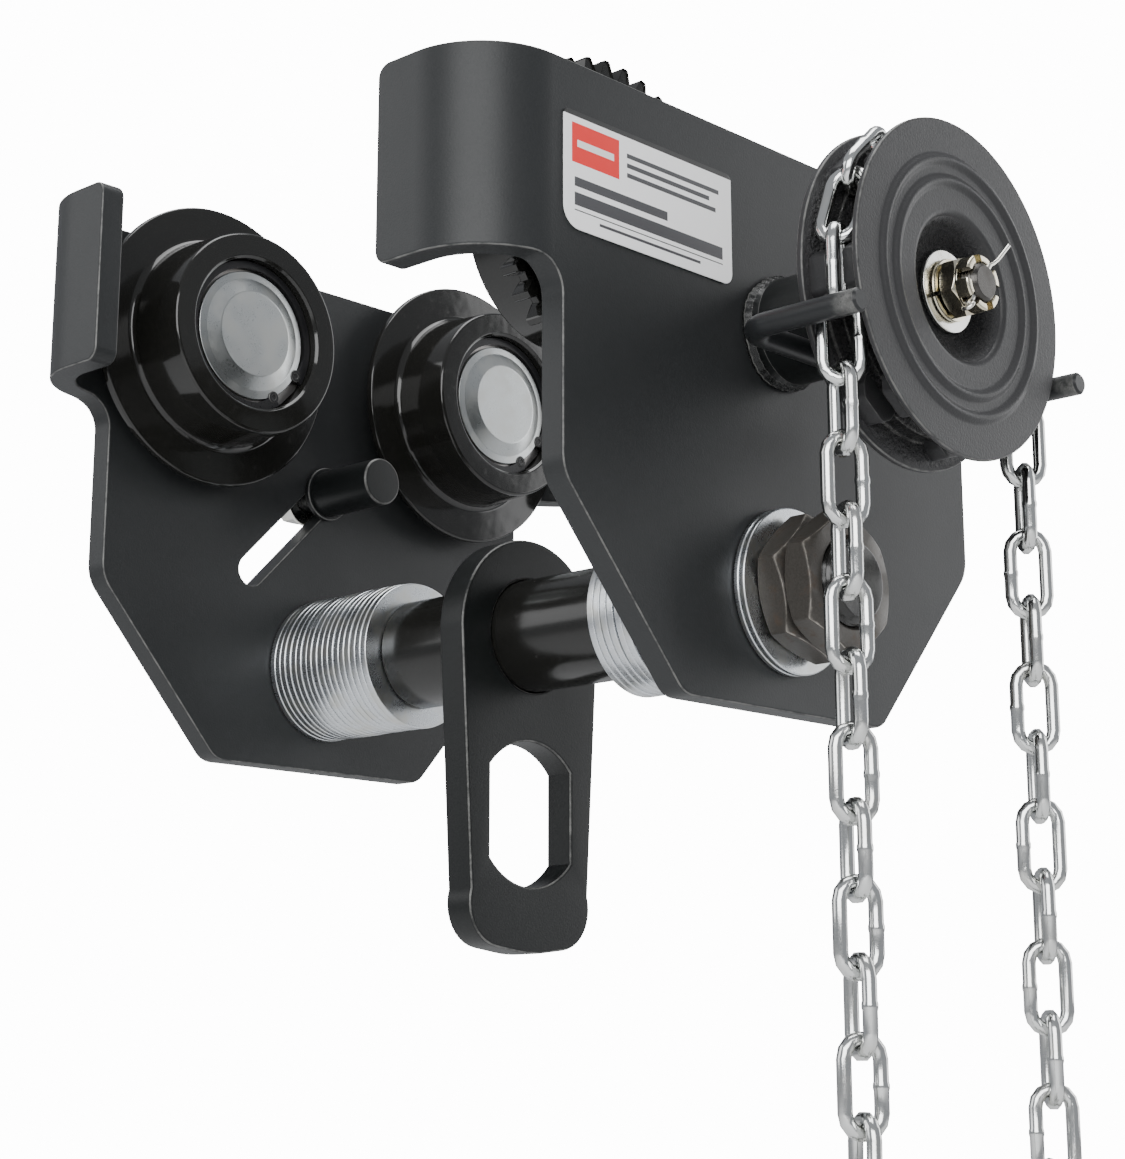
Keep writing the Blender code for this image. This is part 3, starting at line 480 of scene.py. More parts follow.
# %% One link
def link_mesh():
    """One link along Z, wide along X, with its weld bead on one side."""
    bend_r = (CHAIN_WIDTH - CHAIN_WIRE) / 2
    half = (CHAIN_PITCH + CHAIN_WIRE) / 2 - bend_r
    ring = []
    for k in range(8):
        t = math.pi * k / 7
        ring.append((bend_r * math.cos(t), half + bend_r * math.sin(t), 1.0))
    for k in range(8):
        t = math.pi + math.pi * k / 7
        ring.append((bend_r * math.cos(t), -half + bend_r * math.sin(t), 1.0))
    ring += [(bend_r, -1.7, 1.0), (bend_r, -0.7, 1.10), (bend_r, 0.7, 1.10), (bend_r, 1.7, 1.0)]
    bm = bmesh.new()
    count = len(ring)
    loops = []
    for i, (x, z, swell) in enumerate(ring):
        before = Vector(ring[i - 1][:2])
        after = Vector(ring[(i + 1) % count][:2])
        along = (after - before).normalized()
        out = Vector((along.y, -along.x))
        loop = []
        for k in range(8):
            t = math.pi / 8 + math.tau * k / 8
            reach = CHAIN_WIRE / 2 * swell * math.cos(t)
            depth = CHAIN_WIRE / 2 * swell * math.sin(t)
            loop.append(bm.verts.new(((x + out.x * reach) * MM, depth * MM, (z + out.y * reach) * MM)))
        loops.append(loop)
    for i, loop in enumerate(loops):
        other = loops[(i + 1) % count]
        for k in range(8):
            bm.faces.new((loop[k], other[k], other[(k + 1) % 8], loop[(k + 1) % 8]))
    bmesh.ops.recalc_face_normals(bm, faces=bm.faces)
    mesh = bpy.data.meshes.new("link")
    bm.to_mesh(mesh)
    bm.free()
    mesh.shade_smooth()
    return mesh


link = bpy.data.objects.new("link", link_mesh())
bpy.context.collection.objects.link(link)
print("one link has", len(link.data.polygons), "faces")


# %% [markdown]
# Geometry Nodes recipes share a few steps: named inputs, the nodes, and an end that makes the
# instances real and gives them their finish. `bake_recipe` runs a recipe on a piece and keeps the
# result as a plain mesh.

# %% Recipes in Geometry Nodes
class Recipe(Tree):
    """A geometry node group with named inputs."""

    def __init__(self, name, **inputs):
        self.group = bpy.data.node_groups.new(name, "GeometryNodeTree")
        face = self.group.interface
        face.new_socket("Geometry", in_out="INPUT", socket_type="NodeSocketGeometry")
        face.new_socket("Geometry", in_out="OUTPUT", socket_type="NodeSocketGeometry")
        for label, kind in inputs.items():
            face.new_socket(label, in_out="INPUT", socket_type="NodeSocket" + kind)
        super().__init__(self.group)
        self.given = self.add("NodeGroupInput")
        self.end = self.nodes.new("NodeGroupOutput")

    def close(self, instances):
        real = self.add("GeometryNodeRealizeInstances", None, instances)
        done = self.add("GeometryNodeSetMaterial", None, real, Material=self.given.of("Finish"))
        self.links.new(done.output, self.end.inputs[0])
        return self.group


def bake_recipe(name, host, group, **values):
    """Run a recipe on host, and keep the result as a plain mesh object."""
    modifier = host.modifiers.new(group.name, "NODES")
    modifier.node_group = group
    for item in group.interface.items_tree:
        if item.in_out == "INPUT" and item.name in values:
            modifier[item.identifier] = values[item.name]
    evaluated = host.evaluated_get(bpy.context.evaluated_depsgraph_get())
    mesh = bpy.data.meshes.new_from_object(evaluated)
    host.modifiers.remove(modifier)
    mesh.name = name
    piece = bpy.data.objects.new(name, mesh)
    bpy.context.collection.objects.link(piece)
    return piece


def along_route():
    """Set the host's shape on every pitch of a route, each one turned a quarter from the last."""
    recipe = Recipe("along route", Route="Object", Count="Int", Finish="Material")
    line = recipe.add("GeometryNodeObjectInfo", None, recipe.given.of("Route")).of("Geometry")
    stops = recipe.add("GeometryNodeCurveToPoints", {"mode": "COUNT"}, line, recipe.given.of("Count"))
    quarter = (recipe.add("GeometryNodeInputIndex") % 2) * (math.pi / 2)
    spin = recipe.add("ShaderNodeCombineXYZ", None, 0.0, 0.0, quarter)
    turn = recipe.add("FunctionNodeRotateRotation", {"rotation_space": "LOCAL"},
                      stops.of("Rotation"), spin)
    placed = recipe.add("GeometryNodeInstanceOnPoints", None, Points=stops,
                        Instance=recipe.given.of("Geometry"), Rotation=turn)
    return recipe.close(placed)


print("recipe ready: along route")


# %% [markdown]
# Over the wheel every other link lies flat in its pocket. Hanging free, the chain turns by an
# eighth of a turn, which the route's tilt gives.

# %% Set the links on the route
def evenly(points, start, end):
    """The same line with closely and evenly spaced points, from start to end along it."""
    total = line_length(points)
    count = 1400
    wanted = [start + (total - start - end) * k / count for k in range(count + 1)]
    spaced = []
    walked = 0.0
    index = 0
    for goal in wanted:
        while index < len(points) - 2 and walked + (points[index + 1] - points[index]).length < goal:
            walked += (points[index + 1] - points[index]).length
            index += 1
        a, b = points[index], points[index + 1]
        spaced.append(a.lerp(b, (goal - walked) / (b - a).length))
    return spaced


def hanging_turn(point):
    """How far the chain has turned about its own line: none over the wheel, an eighth below."""
    share = min(max((PINION_Z - 5.0 - point.z) / 60.0, 0.0), 1.0)
    return math.radians(44) * (3 * share ** 2 - 2 * share ** 3)


def route_curve(points):
    data = bpy.data.curves.new("chain route", "CURVE")
    data.dimensions = "3D"
    data.twist_mode = "MINIMUM"
    spline = data.splines.new("POLY")
    spline.points.add(len(points) - 1)
    for slot, point in zip(spline.points, points):
        slot.co = (*(point * MM), 1.0)
        slot.tilt = hanging_turn(point)
    curve = bpy.data.objects.new("chain route", data)
    bpy.context.collection.objects.link(curve)
    return curve


CHAIN_PHASE = 0.32                      # of a pitch, from the wheel's top to the first link


def make_chain():
    stretch = line_length(route) / (CHAIN_LINKS * CHAIN_PITCH)
    pitch = CHAIN_PITCH * stretch
    points = evenly(route, pitch * CHAIN_PHASE, pitch * (1 - CHAIN_PHASE))
    curve = route_curve(points)
    chain = bake_recipe("hand_chain", link, along_route(), Route=curve, Count=CHAIN_LINKS,
                        Finish=chain_zinc)
    bpy.data.objects.remove(curve)
    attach(chain, "frame")
    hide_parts("hand_chain_far_run", "hand_chain_near_run", "hand_chain_hank")
    path = [tuple(p * MM) for p in evenly(route, 0.0, 0.0)[::4]]
    return chain


chain = make_chain()
bpy.data.objects.remove(link)
print("hand chain has", len(chain.data.polygons), "faces")

# %% [markdown]
# ## Tools for solid pieces
# Real edges are never sharp: a turned part has small radii, a flame-cut plate is ground. So every
# profile here takes a radius for each corner. A vertex on such a radius also gets an `edge` value
# of 1, and the finishes use it to show paint worn thin along the edges; on the powder coat that
# lighter edge is partly a painted highlight too. A second value, `rough_and_shaded`, marks cast and
# welded surfaces; these lie in hollows and at weld roots, and the powder coat paints them darker
# there, as painted shade.

# %% Round the corners of a profile
def filleted(points, steps=4):
    """Round closed (u, v, radius, rough) corners and return (u, v, edge, rough) points."""
    result = []
    count = len(points)
    full = [(*p, 0.0, 0.0)[:4] for p in points]
    for i, (u, v, radius, rough_and_shaded) in enumerate(full):
        here = Vector((u, v))
        if radius <= 0:
            result.append((u, v, 0.0, rough_and_shaded))
            continue
        before = Vector(full[i - 1][:2]) - here
        after = Vector(full[(i + 1) % count][:2]) - here
        half = before.angle(after) / 2
        reach = radius / math.tan(half)
        start = here + before.normalized() * reach
        end = here + after.normalized() * reach
        centre = here + (before.normalized() + after.normalized()).normalized() * (radius / math.sin(half))
        a0 = math.atan2(start.y - centre.y, start.x - centre.x)
        a1 = math.atan2(end.y - centre.y, end.x - centre.x)
        turn = (a1 - a0 + math.pi) % math.tau - math.pi
        for k in range(steps + 1):
            a = a0 + turn * k / steps
            worn = 1.0 if radius < 2.5 and 0 < k < steps else 0.0
            result.append((centre.x + radius * math.cos(a), centre.y + radius * math.sin(a), worn, rough_and_shaded))
    return result


def new_bmesh():
    bm = bmesh.new()
    return bm, bm.verts.layers.float.new("edge"), bm.verts.layers.float.new("rough_and_shaded")


def make_piece(name, bm, material, body=None, nodes=()):
    """Turn a bmesh in millimetres into a piece, set it riding on its body and hide the solids it stands
    for.
    """
    bmesh.ops.remove_doubles(bm, verts=bm.verts, dist=0.001)
    bmesh.ops.recalc_face_normals(bm, faces=bm.faces)
    bmesh.ops.scale(bm, verts=bm.verts, vec=(MM, MM, MM))
    mesh = bpy.data.meshes.new(name)
    bm.to_mesh(mesh)
    bm.free()
    mesh.materials.append(material)
    mesh.shade_smooth()
    mesh.set_sharp_from_angle(angle=math.radians(38))
    piece = bpy.data.objects.new(name, mesh)
    bpy.context.collection.objects.link(piece)
    if body:
        settle(piece, body, nodes)
    return piece


def settle(piece, body, nodes=()):
    """Let a piece ride on its body, and even out its shading so flats stay flat."""
    even = piece.modifiers.new("even shading", "WEIGHTED_NORMAL")
    even.keep_sharp = True
    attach(piece, body)
    if nodes:
        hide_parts(*nodes)
    return piece


# %% Turn a profile on a lathe
def turned(profile, centre, segments=96, waves=None, steps=4):
    """Turn a closed profile of (x, r, radius) corners about the axis along X through centre.

    waves(angle, rough) is a number of millimetres added to the radius, for welds and castings.
    """
    bm, edge, rough_and_shaded = new_bmesh()
    rings = []
    for x, r, worn, coarse in filleted(profile, steps):
        ring = []
        for i in range(segments if r > 1e-4 else 1):
            a = math.tau * i / segments
            reach = r + (waves(a, coarse) if waves else 0.0)
            vert = bm.verts.new((x, centre[0] + reach * math.cos(a), centre[1] + reach * math.sin(a)))
            vert[edge] = worn
            vert[rough_and_shaded] = coarse
            ring.append(vert)
        rings.append(ring)
    for ring, other in zip(rings, rings[1:] + rings[:1]):
        if len(ring) == 1 and len(other) == 1:
            continue
        for i in range(segments):
            j = (i + 1) % segments
            around = [ring[i % len(ring)], ring[j % len(ring)],
                      other[j % len(other)], other[i % len(other)]]
            bm.faces.new(list(dict.fromkeys(around)))
    return bm


# %% Cut a plate with ground edges
def circle(centre, radius, segments=72):
    return [(centre[0] + radius * math.cos(math.tau * i / segments),
             centre[1] + radius * math.sin(math.tau * i / segments)) for i in range(segments)]


def area(loop):
    return sum(a[0] * b[1] - b[0] * a[1] for a, b in zip(loop, loop[1:] + loop[:1])) / 2


def slab(outline, x0, x1, holes=(), edge_r=1.0, steps=3):
    """A plate in (y, z) with holes, whose edges are all rounded to edge_r."""
    bm, edge, _ = new_bmesh()
    stations = []
    for k in range(steps + 1):
        a = math.pi / 2 * (1 - k / steps)
        stations.append((edge_r * (1 - math.sin(a)), edge_r * (1 - math.cos(a)), 0 < k < steps))
    down = math.copysign(1.0, x1 - x0)
    levels = [(x0 + down * deep, inset, worn) for deep, inset, worn in stations]
    levels += [(x1 - down * deep, inset, worn) for deep, inset, worn in stations[::-1]]
    caps = ([], [])
    for number, loop in enumerate([outline, *holes]):
        points = [Vector(p[:2]) for p in loop]
        if (area(points) > 0) != (number == 0):
            points.reverse()
        count = len(points)
        shifts = []
        for i, here in enumerate(points):
            into = (here - points[i - 1]).normalized()
            out = (points[(i + 1) % count] - here).normalized()
            normal = (Vector((-into.y, into.x)) + Vector((-out.y, out.x))).normalized()
            shifts.append(normal / max(normal.dot(Vector((-into.y, into.x))), 0.3))
        rings = []
        for x, inset, worn in levels:
            ring = []
            for here, shift in zip(points, shifts):
                place = here + shift * inset
                vert = bm.verts.new((x, place.x, place.y))
                vert[edge] = float(worn)
                ring.append(vert)
            rings.append(ring)
        for ring, other in zip(rings, rings[1:]):
            for i in range(count):
                j = (i + 1) % count
                bm.faces.new((ring[i], ring[j], other[j], other[i]))
        for cap, ring in zip(caps, (rings[0], rings[-1])):
            cap += [bm.edges.get((ring[i], ring[(i + 1) % count])) for i in range(count)]
    for cap in caps:
        bmesh.ops.triangle_fill(bm, use_beauty=True, edges=cap)
    return bm


def joined(*parts):
    """Put several bmeshes into the first."""
    first = parts[0]
    for part in parts[1:]:
        mesh = bpy.data.meshes.new("part")
        part.to_mesh(mesh)
        part.free()
        first.from_mesh(mesh)
        bpy.data.meshes.remove(mesh)
    return first


print("tools ready: turned, slab, joined")


# %% [markdown]
# ## The side plates
# Each plate is 12 mm steel, cut out flat and then bent in at both ends, so that the ends are
# bumpers that meet the trolley's neighbour. It is easiest to cut the flat shape first and then
# wrap it: every vertex past the start of the bend is moved round an arc.

# %% Flat outline and bend
BUMPER_REACH = PLATE_HIGH.y
BUMPER_RETURN = PLATE_HIGH.x - PLATE_LOW.x
BEND_R = 38.0
BEND_START = BUMPER_REACH - BEND_R
BEND_NEUTRAL = BEND_R - PLATE_T / 2
BEND_ARC = BEND_NEUTRAL * math.pi / 2
HALF_LENGTH = 135.0
KNEE_Z = -69.0
FOOT_HALF = 65.5
BUMPER_BOTTOM = 15.0


def plate_outline():
    tip = BEND_START + BEND_ARC + BUMPER_RETURN - BEND_R
    half = [(-tip, PLATE_HIGH.z, 6.0), (-tip, BUMPER_BOTTOM, 6.0), (-HALF_LENGTH, BUMPER_BOTTOM, 14.0),
            (-HALF_LENGTH, KNEE_Z, 18.0), (-FOOT_HALF, PLATE_LOW.z, 12.0)]
    other = [(-y, z, r) for y, z, r in reversed(half)]
    return [p[:2] for p in filleted(half + other, 10)]


def bend_ends(bm, side):
    """Wrap both ends of a flat plate round the bumper bends."""
    stations = 18
    for k in range(stations + 1):
        for sign in (-1, 1):
            geom = list(bm.verts) + list(bm.edges) + list(bm.faces)
            at = (0, sign * (BEND_START + BEND_ARC * k / stations), 0)
            bmesh.ops.bisect_plane(bm, geom=geom, plane_co=at, plane_no=(0, 1, 0), dist=1e-5)
    for vert in bm.verts:
        along = abs(vert.co.y)
        if along <= BEND_START:
            continue
        angle = min((along - BEND_START) / BEND_NEUTRAL, math.pi / 2)
        straight = max(along - BEND_START - BEND_ARC, 0.0)
        radius = BEND_R - (OUTER_FACE - abs(vert.co.x))
        vert.co.x = side * (OUTER_FACE - BEND_R + radius * math.cos(angle) - straight)
        vert.co.y = math.copysign(BEND_START + radius * math.sin(angle), vert.co.y)
    return bm


# %% Cut and bend both plates
STOP_Y, STOP_Z = middle("tilt_stop_nut").yz
SLOT_TRAVEL = 64.0
SLOT_WIDTH = 15.0
SHAFT_END_R = 18.0


def stop_slot():
    """A slot at 45 degrees from the tilt stop down towards the near end."""
    half = SLOT_WIDTH / 2
    corners_of_slot = [(-SLOT_TRAVEL - half, -half, half * 0.98), (half, -half, half * 0.98),
                       (half, half, half * 0.98), (-SLOT_TRAVEL - half, half, half * 0.98)]
    turn = math.sqrt(0.5)
    return [(STOP_Y + (u - v) * turn, STOP_Z + (u + v) * turn)
            for u, v, *_ in filleted(corners_of_slot, 8)]


for label, side in SIDES.items():
    holes = [circle((0, SHAFT_Z), SHAFT_END_R + 0.3)]
    holes.append(stop_slot() if label == "plain" else circle((0, PINION_Z), 17.0))
    flat = slab(plate_outline(), side * HALF_GAP, side * OUTER_FACE, holes, 1.1)
    plate = make_piece(f"plate_{label}", bend_ends(flat, side), charcoal, "frame",
                       [f"side_plate_{label}"])
    print(plate.name, len(plate.data.polygons), "faces")


# %% [markdown]
# ## What repeats round an axis
# Gear teeth, the hand wheel's lugs and the castle nut's prongs are one shape set many times round
# an axis along X. The recipe takes the shape at the top of the axis, and the number wanted.

# %% Recipe: a ring of one shape
def ring_recipe():
    recipe = Recipe("ring", Count="Int", Centre="Vector", Phase="Float", Finish="Material")
    count = recipe.given.of("Count")
    spots = recipe.add("GeometryNodeMeshLine", {"mode": "OFFSET"}, Count=count,
                       Start_Location=recipe.given.of("Centre"), Offset=(0.0, 0.0, 0.0))
    angle = recipe.add("GeometryNodeInputIndex") * (math.tau / count) + recipe.given.of("Phase")
    turn = recipe.add("ShaderNodeCombineXYZ", None, angle, 0.0, 0.0)
    placed = recipe.add("GeometryNodeInstanceOnPoints", None, Points=spots,
                        Instance=recipe.given.of("Geometry"), Rotation=turn)
    return recipe.close(placed)


ring_group = ring_recipe()


def ring_of(name, shape, count, centre, phase, material):
    """Repeat a bmesh that stands above the origin count times round an axis."""
    host = make_piece(name, shape, material)
    made = bake_recipe(name, host, ring_group, Count=count, Centre=(0.0, centre[0] * MM, centre[1] * MM),
                       Phase=phase, Finish=material)
    bpy.data.objects.remove(host)
    return made


def merged(name, *pieces):
    """Make one piece of several, in order, with all their faces."""
    bm = bmesh.new()
    for piece in pieces:
        bm.from_mesh(piece.data)
    mesh = bpy.data.meshes.new(name)
    bm.to_mesh(mesh)
    bm.free()
    mesh.materials.append(pieces[0].data.materials[0])
    for piece in pieces:
        bpy.data.objects.remove(piece)
    whole = bpy.data.objects.new(name, mesh)
    bpy.context.collection.objects.link(whole)
    return whole


def tooth(root_r, tip_r, root_w, tip_w, x0, x1, chamfer=0.8):
    """One gear tooth: a trapezoid with its crest and both ends eased."""
    bm, edge, _ = new_bmesh()
    base = root_r - 1.5
    section = [(-root_w / 2, base), (-root_w / 2, root_r), (-tip_w / 2 - 0.5, tip_r - 1.0),
               (-tip_w / 2 + 0.2, tip_r), (tip_w / 2 - 0.2, tip_r), (tip_w / 2 + 0.5, tip_r - 1.0),
               (root_w / 2, root_r), (root_w / 2, base)]
    rings = []
    for x, ease in ((x0, chamfer), (x0 + chamfer, 0.0), (x1 - chamfer, 0.0), (x1, chamfer)):
        ring = []
        for y, z in section:
            share = min(max((z - root_r) / (tip_r - root_r), 0.0), 1.0)
            vert = bm.verts.new((x, y * (1 - 0.12 * ease * share), z - ease * share))
            vert[edge] = float(ease > 0)
            ring.append(vert)
        rings.append(ring)
    for ring, other in zip(rings, rings[1:]):
        for i in range(len(ring)):
            j = (i + 1) % len(ring)
            bm.faces.new((ring[i], ring[j], other[j], other[i]))
    bm.faces.new(rings[0])
    bm.faces.new(rings[-1])
    return bm


# %% [markdown]
# ## The track wheels
# The wheels are dropped forgings, machined on the tread and dipped in black enamel. On the geared
# side the flange carries 37 teeth that the pinion drives. The profile is turned, and the teeth are
# set round it.

# %% Wheels
MODULE = 3.5
WHEEL_TEETH = 37
PINION_TEETH = 15
ROOT_DEPTH = MODULE * 1.25
TIP_HEIGHT = MODULE * 0.98
FLANGE_R = (corners("track_wheel_plain_far")[1].z - WHEEL_Z)


def inward(side, offset):
    """X of a point at offset inside a plate's inner face."""
    return side * (HALF_GAP - offset)


def one_side(profile, side):
    return [(inward(side, corner[0]), *corner[1:]) for corner in profile]


def wheel_profile(rim_r):
    return [(6.0, 25.5), (6.0, rim_r - 13.0, 3.0), (9.6, rim_r, 1.4), (13.6, rim_r, 1.2),
            (14.0, 51.5, 3.2), (16.0, 50.0, 1.5), (44.5, 48.4, 1.6), (44.5, 37.6, 0.8),
            (43.2, 36.4, 0.6), (19.6, 36.3), (19.6, 25.5)]


def pinion_phase():
    return math.atan2(WHEEL_Z - PINION_Z, -WHEEL_Y) + math.pi / PINION_TEETH


def geared_wheel_phase(end):
    """Angle of one wheel tooth, so that it stands in mesh with the pinion."""
    pitch = math.tau / PINION_TEETH
    to_wheel = math.atan2(WHEEL_Z - PINION_Z, end * WHEEL_Y)
    lead = (pinion_phase() - to_wheel) % pitch - pitch / 2
    return to_wheel + math.pi - lead * PINION_TEETH / WHEEL_TEETH


for label, side in SIDES.items():
    for end_label, end in ENDS.items():
        tag = f"{label}_{end_label}"
        centre = (end * WHEEL_Y, WHEEL_Z)
        pitch_r = MODULE * WHEEL_TEETH / 2
        rim_r = pitch_r - ROOT_DEPTH + 0.6 if side > 0 else FLANGE_R
        wheel = make_piece(f"wheel_{tag}", turned(one_side(wheel_profile(rim_r), side), centre, 128),
                           wheel_enamel)
        if side > 0:
            shape = tooth(rim_r, pitch_r + TIP_HEIGHT, 7.4, 2.9, inward(1, 6.4), inward(1, 13.5))
            teeth = ring_of(f"teeth_{tag}", shape, WHEEL_TEETH, centre,
                            geared_wheel_phase(end) - math.pi / 2, wheel_enamel)
            wheel = merged(f"wheel_{tag}", wheel, teeth)
            wheel.data.shade_smooth()
            wheel.data.set_sharp_from_angle(angle=math.radians(38))
        settle(wheel, f"wheel_{tag}", [f"track_wheel_{tag}"])
print("wheels and", WHEEL_TEETH, "teeth on each geared one")


# %% [markdown]
# A spring ring in a groove holds each bearing, and a pressed zinc cap keeps the grease in. The
# ring is open at one place, where two eyelets take the pliers. The cap is spun from thin sheet: a
# flat centre, a cone and a lip.

# %% Dust caps and spring rings
CAP_PROFILE = [(42.3, 0.0), (42.3, 20.6, 2.4), (39.7, 27.2, 2.2), (39.2, 31.0, 0.5), (37.3, 31.0),
               (37.3, 26.4), (41.4, 20.0), (41.4, 0.0)]
RING_FROM, RING_TO = 37.3, 39.6
RING_GAP_AT = math.radians(-45)


def spring_ring(side, centre):
    """An open flat ring with an eyelet on each end."""
    bm, edge, _ = new_bmesh()
    gap = math.radians(15)
    rows = 60
    rings = []
    for k in range(rows + 1):
        a = RING_GAP_AT + gap + (math.tau - 2 * gap) * k / rows
        near_end = max(0.0, 1 - min(k, rows - k) / 4)
        inner = 32.6 - 2.6 * near_end
        section = [(RING_FROM, 36.0), (RING_TO, 36.0), (RING_TO, inner), (RING_FROM, inner)]
        ring = [bm.verts.new((inward(side, x), centre[0] + r * math.cos(a), centre[1] + r * math.sin(a)))
                for x, r in section]
        rings.append(ring)
    for ring, other in zip(rings, rings[1:]):
        for i in range(4):
            bm.faces.new((ring[i], ring[(i + 1) % 4], other[(i + 1) % 4], other[i]))
    bm.faces.new(rings[0])
    bm.faces.new(rings[-1])
    eyelets = []
    for sign in (-1, 1):
        a = RING_GAP_AT + sign * (gap + math.radians(2.5))
        eye = (centre[0] + 31.2 * math.cos(a), centre[1] + 31.2 * math.sin(a))
        outer = RING_TO + 0.35
        profile = [(RING_FROM, 1.3), (RING_FROM, 3.0), (outer, 3.0, 0.5), (outer, 1.3, 0.3)]
        eyelets.append(turned(one_side(profile, side), eye, 20))
    return joined(bm, *eyelets)


for label, side in SIDES.items():
    for end_label, end in ENDS.items():
        tag = f"{label}_{end_label}"
        centre = (end * WHEEL_Y, WHEEL_Z)
        make_piece(f"cap_{tag}", turned(one_side(CAP_PROFILE, side), centre, 96), cap_zinc,
                   f"wheel_{tag}", [f"dust_cap_{tag}"])
        make_piece(f"spring_ring_{tag}", spring_ring(side, centre), phosphate,
                   f"wheel_{tag}", [f"retaining_ring_{tag}"])
print("four caps and four spring rings")


# %% [markdown]
# ## The load shaft
# One shaft holds the two plates apart. It is enamelled in the middle, where the suspension plate
# hangs, and threaded at both ends. Loose washers between its shoulders and the plates set the
# trolley to the width of the beam: moving washers outside the plates brings the plates closer.

# %% Shaft
SHAFT_R = 25.5
SHOULDER_X = 69.3
SHAFT_TIP = corners("load_shaft")[1].x
THREAD_PITCH = 2.0


def shaft_half():
    """Half of the shaft's section, with a thread on the end of it."""
    half = [(SHOULDER_X, SHAFT_R, 1.2), (SHOULDER_X, SHAFT_END_R, 0.0)]
    ridges = 17
    first = SHAFT_TIP - 2.5 - ridges * THREAD_PITCH
    for k in range(ridges):
        x = first + k * THREAD_PITCH
        half += [(x, SHAFT_END_R - 1.0), (x + THREAD_PITCH / 2, SHAFT_END_R)]
    return half + [(SHAFT_TIP - 2.2, SHAFT_END_R - 0.6, 0.4), (SHAFT_TIP, SHAFT_END_R - 2.4, 1.0)]


half = shaft_half()
mirror = [(-corner[0], *corner[1:]) for corner in reversed(half)]
shaft_bm = turned([(-SHAFT_TIP, 0.0)] + mirror + half + [(SHAFT_TIP, 0.0)], (0, SHAFT_Z), 96)
make_piece("shaft", shaft_bm, shaft_enamel, "load_bar", ["load_shaft"])


# %% Recipe: a row of washers
def row_recipe():
    """Washers side by side along X, each a little off centre as loose washers lie."""
    recipe = Recipe("washer row", Count="Int", Start="Vector", Pitch="Vector", Slack="Vector",
                    Seed="Int", Finish="Material")
    line = recipe.add("GeometryNodeMeshLine", {"mode": "OFFSET"}, Count=recipe.given.of("Count"),
                      Start_Location=recipe.given.of("Start"), Offset=recipe.given.of("Pitch"))
    least = recipe.add("ShaderNodeVectorMath", {"operation": "SCALE"}, recipe.given.of("Slack"), Scale=-1.0)
    shift = recipe.add("FunctionNodeRandomValue", {"data_type": "FLOAT_VECTOR"},
                       Seed=recipe.given.of("Seed"))
    recipe.feed(shift.node.inputs[0], least)
    recipe.feed(shift.node.inputs[1], recipe.given.of("Slack"))
    loose = recipe.add("GeometryNodeSetPosition", None, line, Offset=shift)
    placed = recipe.add("GeometryNodeInstanceOnPoints", None, Points=loose,
                        Instance=recipe.given.of("Geometry"))
    return recipe.close(placed)


SPACERS = 18
SPACER_R = (corners("spacer_washers_plain")[1].z - corners("spacer_washers_plain")[0].z) / 2
washer_group = row_recipe()
for label, side in SIDES.items():
    start = SHOULDER_X + 0.3
    pitch = (HALF_GAP - 0.3 - start) / SPACERS
    profile = [(0.06, 18.3), (0.06, SPACER_R - 0.3, 0.7), (pitch - 0.06, SPACER_R - 0.3, 0.7),
               (pitch - 0.06, 18.3)]
    centred = [(x - pitch / 2, *rest) for x, *rest in profile]
    one = make_piece("one washer", turned(centred, (0, 0), 80, steps=3), washer_zinc)
    at = (side * (start + pitch / 2) * MM, 0.0, SHAFT_Z * MM)
    stack = bake_recipe(f"washers_{label}", one, washer_group, Count=SPACERS, Start=at,
                        Pitch=(side * pitch * MM, 0.0, 0.0), Slack=(0.0, 0.25 * MM, 0.25 * MM),
                        Seed=4 + side, Finish=washer_zinc)
    bpy.data.objects.remove(one)
    stack.data.shade_smooth()
    stack.data.set_sharp_from_angle(angle=math.radians(50))
    settle(stack, "load_bar", [f"spacer_washers_{label}"])
    for which in ("inner", "outer"):
        low, high = corners(f"shaft_washer_{label}_{which}")
        inner, outer = sorted((low.x, high.x))
        rim = [(inner, 18.3), (inner, SPACER_R, 0.7), (outer, SPACER_R, 0.7), (outer, 18.3)]
        make_piece(f"washer_{label}_{which}", turned(rim, (0, SHAFT_Z), 96, steps=3), washer_zinc,
                   "load_bar", [f"shaft_washer_{label}_{which}"])
print(f"{SPACERS} washers a side, {pitch:.2f} mm each")


# %% [markdown]
# ### Nuts
# A hexagon nut is a hexagon crossed with a wide cone, which gives the curved 30 degree chamfer on
# each corner. The same sum gives it directly: a point of the outline lies lower the further it is
# from the axis.

